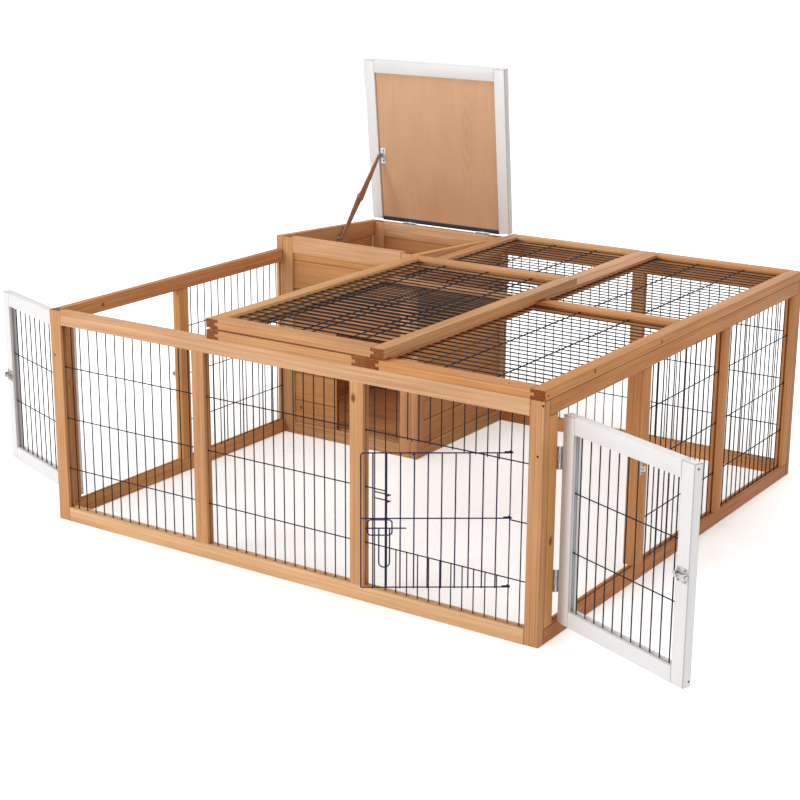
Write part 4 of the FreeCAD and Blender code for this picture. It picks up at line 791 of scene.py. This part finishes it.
# %% Seal
SEAL_LOW, SEAL_HIGH = Vector((-549.8, 1143.8, 467.9)) * MM, Vector((-205.2, 1153.9, 470.6)) * MM
SEAL_PARTS, SEAL_ROUND = 8, 0.8 * MM
bpy.ops.object.select_all(action="DESELECT")
bpy.ops.mesh.primitive_cube_add(size=1, location=(SEAL_LOW + SEAL_HIGH) / 2, scale=SEAL_HIGH - SEAL_LOW)
seal = bpy.context.active_object
bpy.ops.object.transform_apply()
bpy.ops.object.mode_set(mode="EDIT")
bpy.ops.mesh.select_all(action="DESELECT")
bpy.ops.object.mode_set(mode="OBJECT")
for edge in seal.data.edges:
    start, end = (seal.data.vertices[corner].co for corner in edge.vertices)
    edge.select = abs((end - start).normalized().x) > 0.9
bpy.ops.object.mode_set(mode="EDIT")
bpy.ops.mesh.select_mode(type="EDGE")
bpy.ops.mesh.bevel(offset=SEAL_ROUND, segments=3, affect="EDGES")
for part in range(1, SEAL_PARTS):
    bpy.ops.mesh.select_all(action="SELECT")
    bpy.ops.mesh.bisect(plane_co=SEAL_LOW.lerp(SEAL_HIGH, part / SEAL_PARTS), plane_no=(1, 0, 0))
bpy.ops.object.mode_set(mode="OBJECT")
bpy.ops.object.shade_smooth_by_angle(angle=math.radians(40))
seal.data.transform(LID)
together([seal], "lid_seal", "lid", rubber)
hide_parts("lid_strip")
print("seal with", len(seal.data.polygons), "faces")

# %% [markdown]
# ## The stay's rivet
# A domed steel rivet holds the two arms of the lid's stay together at the elbow. It starts as a short
# cylinder over the part's plain pin, and a round bevel on its outer rim makes the dome.

# %% Rivet
RIVET, RIVET_HIGH, RIVET_FLAT, RIVET_ROUND = 6.4 * MM, 7.4 * MM, 0.4 * MM, 3.6 * MM
ELBOW = Vector((-552.8, 1054.05, 538.56)) * MM
bpy.ops.object.select_all(action="DESELECT")
bpy.ops.mesh.primitive_cylinder_add(vertices=28, radius=RIVET, depth=RIVET_HIGH,
                                    location=ELBOW - ASIDE * RIVET_HIGH / 2, rotation=(0, math.pi / 2, 0))
rivet = bpy.context.active_object
bpy.ops.object.transform_apply()
for face in rivet.data.polygons:
    face.select = face.normal.x < -0.9
bpy.ops.object.mode_set(mode="EDIT")
bpy.ops.mesh.select_mode(type="FACE")
bpy.ops.mesh.inset(thickness=RIVET_FLAT)
bpy.ops.mesh.select_more()
bpy.ops.mesh.bevel(offset=RIVET_ROUND, segments=6, affect="EDGES")
bpy.ops.object.mode_set(mode="OBJECT")
bpy.ops.object.shade_smooth_by_angle(angle=math.radians(40))
bright_steel = plated("Bright nickel plated steel", "#DADADC", "#B9BABD", rough=0.22, metallic=1.0,
                      crystal=2 * MM)
together([rivet], "stay_rivet", "stay_lower_arm", bright_steel)
print("rivet", [round(part / MM, 1) for part in rivet.dimensions])

# %% [markdown]
# ## Wire ends of the wire door
# The level wires of the wire door end in a hook: each goes round the fixed wire on which the door turns
# and runs back above itself for a good centimetre. The hook is a circle extruded to the straight tail, and
# spin carries its end round the hinge wire.

# %% Hooked wire ends
WIRE, TAIL, WRAP = 1.1 * MM, 12 * MM, 2.5 * MM
HINGE_WIRE = Vector(joints["wire_door_hinge"]["pos_m"])
LEVELS = 100 * MM, 229.5 * MM, 350 * MM
turn_at = Vector((HINGE_WIRE.x, HINGE_WIRE.y, 0))
bpy.ops.object.select_all(action="DESELECT")
bpy.ops.mesh.primitive_circle_add(vertices=8, radius=WIRE, fill_type="NGON", rotation=(0, math.pi / 2, 0),
                                  location=turn_at - ASIDE * TAIL - BACKWARD * WRAP)
hook = bpy.context.active_object
bpy.ops.object.transform_apply()
bpy.ops.object.mode_set(mode="EDIT")
bpy.ops.mesh.select_all(action="SELECT")
bpy.ops.mesh.extrude_region_move(TRANSFORM_OT_translate={"value": (TAIL, 0, 0)})
bpy.ops.mesh.spin(steps=8, angle=math.radians(200), center=turn_at, axis=(0, 0, 1))
bpy.ops.mesh.select_all(action="SELECT")
bpy.ops.mesh.remove_doubles(threshold=0.01 * MM)
bpy.ops.mesh.normals_make_consistent(inside=False)
bpy.ops.object.mode_set(mode="OBJECT")
bpy.ops.object.shade_smooth_by_angle(angle=math.radians(60))
tails = [hook]
for _ in LEVELS[1:]:
    alone(hook)
    bpy.ops.object.duplicate()
    tails.append(bpy.context.active_object)
for tail, level in zip(tails, LEVELS):
    # Each hook lies on top of the door's level wire.
    tail.data.transform(WIRE_DOOR @ Matrix.Translation(UPWARD * (level + 2 * WIRE)))
print(len(tails), "hooked ends with", len(hook.data.polygons), "faces each")
together(tails, "wire_door_tails", "wire_door", navy_coat)

# %% [markdown]
# ## Floor and light
# The hutch stands on a plain white floor before a white background. The floor is white paint with a glow
# that only the camera sees and that grows away from the hutch, so that it meets the background without an
# edge and still takes a soft shadow. One large soft lamp stands to the left in front, one to the right, one
# above and a weak one behind, so that the hutch can be looked at from all sides.


# %% Floor
def looked_at(tree):
    """One for what the camera sees, itself or in a mirror or glass, and nought for light on the hutch."""
    rays = add_node(tree, "ShaderNodeLightPath").outputs
    mirrored = add_node(tree, "ShaderNodeMath", {"operation": "MAXIMUM"},
                        {0: rays["Is Camera Ray"], 1: rays["Is Glossy Ray"]})
    return add_node(tree, "ShaderNodeMath", {"operation": "MAXIMUM"},
                    {0: mirrored.outputs[0], 1: rays["Is Transmission Ray"]}).outputs[0]


# In metres: the floor lies just below the feet, and its glow grows between two rings about the hutch.
FLOOR_WIDE, FLOOR_LOW = 14, -0.5 * MM
HUTCH, GLOW_START, GLOW_FULL, LEAST_GLOW = (0, 0.57, 0), 0.55, 1.3, 0.4
bpy.ops.object.select_all(action="DESELECT")
bpy.ops.mesh.primitive_plane_add(size=FLOOR_WIDE, location=(0, 0, FLOOR_LOW))
floor = bpy.context.active_object
floor.name = "floor"
floor_paint, tree = new_finish("White floor paint")
seen = looked_at(tree)
where = add_node(tree, "ShaderNodeTexCoord").outputs["Object"]
away = add_node(tree, "ShaderNodeVectorMath", {"operation": "DISTANCE"}, {0: where, 1: HUTCH})
far = add_node(tree, "ShaderNodeMapRange", {"interpolation_type": "SMOOTHSTEP"},
               {"Value": away.outputs["Value"], "From Min": GLOW_START, "From Max": GLOW_FULL,
                "To Min": LEAST_GLOW, "To Max": 1.0})
glow = add_node(tree, "ShaderNodeMath", {"operation": "MULTIPLY"}, {0: seen, 1: far.outputs[0]})
paint = add_node(tree, "ShaderNodeBsdfPrincipled",
                 feeds={"Base Color": linear("#F2F2F2"), "Roughness": 0.9,
                        "Emission Color": linear("#FFFFFF"), "Emission Strength": glow.outputs[0]})
add_node(tree, "ShaderNodeOutputMaterial", feeds={"Surface": paint.outputs[0]})
floor.data.materials.append(floor_paint)
print("floor", FLOOR_WIDE, "m wide")

# %% World
world = bpy.data.worlds.new("White studio")
bpy.context.scene.world = world
world.use_nodes = True
tree = world.node_tree
tree.nodes.clear()
seen = looked_at(tree)
AMBIENT = 0.25
level = add_node(tree, "ShaderNodeMapRange",
                 feeds={"Value": seen, "To Min": AMBIENT, "To Max": 1.0})
tint = add_node(tree, "ShaderNodeMix", {"data_type": "RGBA"},
                {0: seen, FROM: linear("#FFF0E2"), TO: linear("#FFFFFF")})
sky = add_node(tree, "ShaderNodeBackground",
               feeds={"Color": tint.outputs[MIXED], "Strength": level.outputs[0]})
add_node(tree, "ShaderNodeOutputWorld", feeds={"Surface": sky.outputs[0]})
print("ambient light", AMBIENT)


# %% Lamps
def soft_lamp(name, place, target, wide, power):
    """A square soft box aimed at a point."""
    bpy.ops.object.light_add(type="AREA", location=place)
    lamp = bpy.context.active_object
    lamp.name = name
    lamp.data.shape, lamp.data.size, lamp.data.energy = "SQUARE", wide, power
    lamp.rotation_euler = (Vector(target) - Vector(place)).to_track_quat("-Z", "Y").to_euler()


# Metres and watts.
MIDDLE = (0, 0.5, 0.25)
soft_lamp("key_lamp", place=(-2.1, -4.6, 2.0), target=MIDDLE, wide=2.4, power=158)
soft_lamp("right_lamp", place=(3.0, -0.6, 1.6), target=MIDDLE, wide=2.0, power=28)
soft_lamp("top_lamp", place=(-0.4, 0.5, 3.0), target=MIDDLE, wide=2.5, power=33)
soft_lamp("back_lamp", place=(-0.6, 3.8, 1.6), target=MIDDLE, wide=2.0, power=14)
print("four soft lamps")

# %% [markdown]
# ## Camera
# The camera stands to the right in front of the hutch, a little above it, with a longish lens. Its place
# and direction were worked out from the edges of the frame in the photograph.

# %% Camera
CAMERA_PLACE = Vector((1.9552, -2.5058, 1.2996))
AZIMUTH, ELEVATION, ROLL = math.radians(33.795), math.radians(16.532), math.radians(0.336)
# Focal length and width of the picture behind the lens, in millimetres.
FOCAL, PICTURE_WIDE = 78.85, 36
forward = Vector((-math.sin(AZIMUTH) * math.cos(ELEVATION), math.cos(AZIMUTH) * math.cos(ELEVATION),
                  -math.sin(ELEVATION)))
right = Vector((math.cos(AZIMUTH), math.sin(AZIMUTH), 0))
up = right.cross(forward)
right, up = (math.cos(ROLL) * right + math.sin(ROLL) * up,
             math.cos(ROLL) * up - math.sin(ROLL) * right)
lens = bpy.data.cameras.new("camera")
lens.lens, lens.sensor_width = FOCAL, PICTURE_WIDE
camera = bpy.data.objects.new("camera", lens)
bpy.context.scene.collection.objects.link(camera)
camera.matrix_world = Matrix((right, up, -forward)).transposed().to_4x4()
camera.location = CAMERA_PLACE
bpy.context.scene.camera = camera
bpy.context.scene.view_settings.view_transform = "Standard"
print("camera at", [round(part, 2) for part in CAMERA_PLACE])

# %% [markdown]

# %% End
print("hutch dressed")
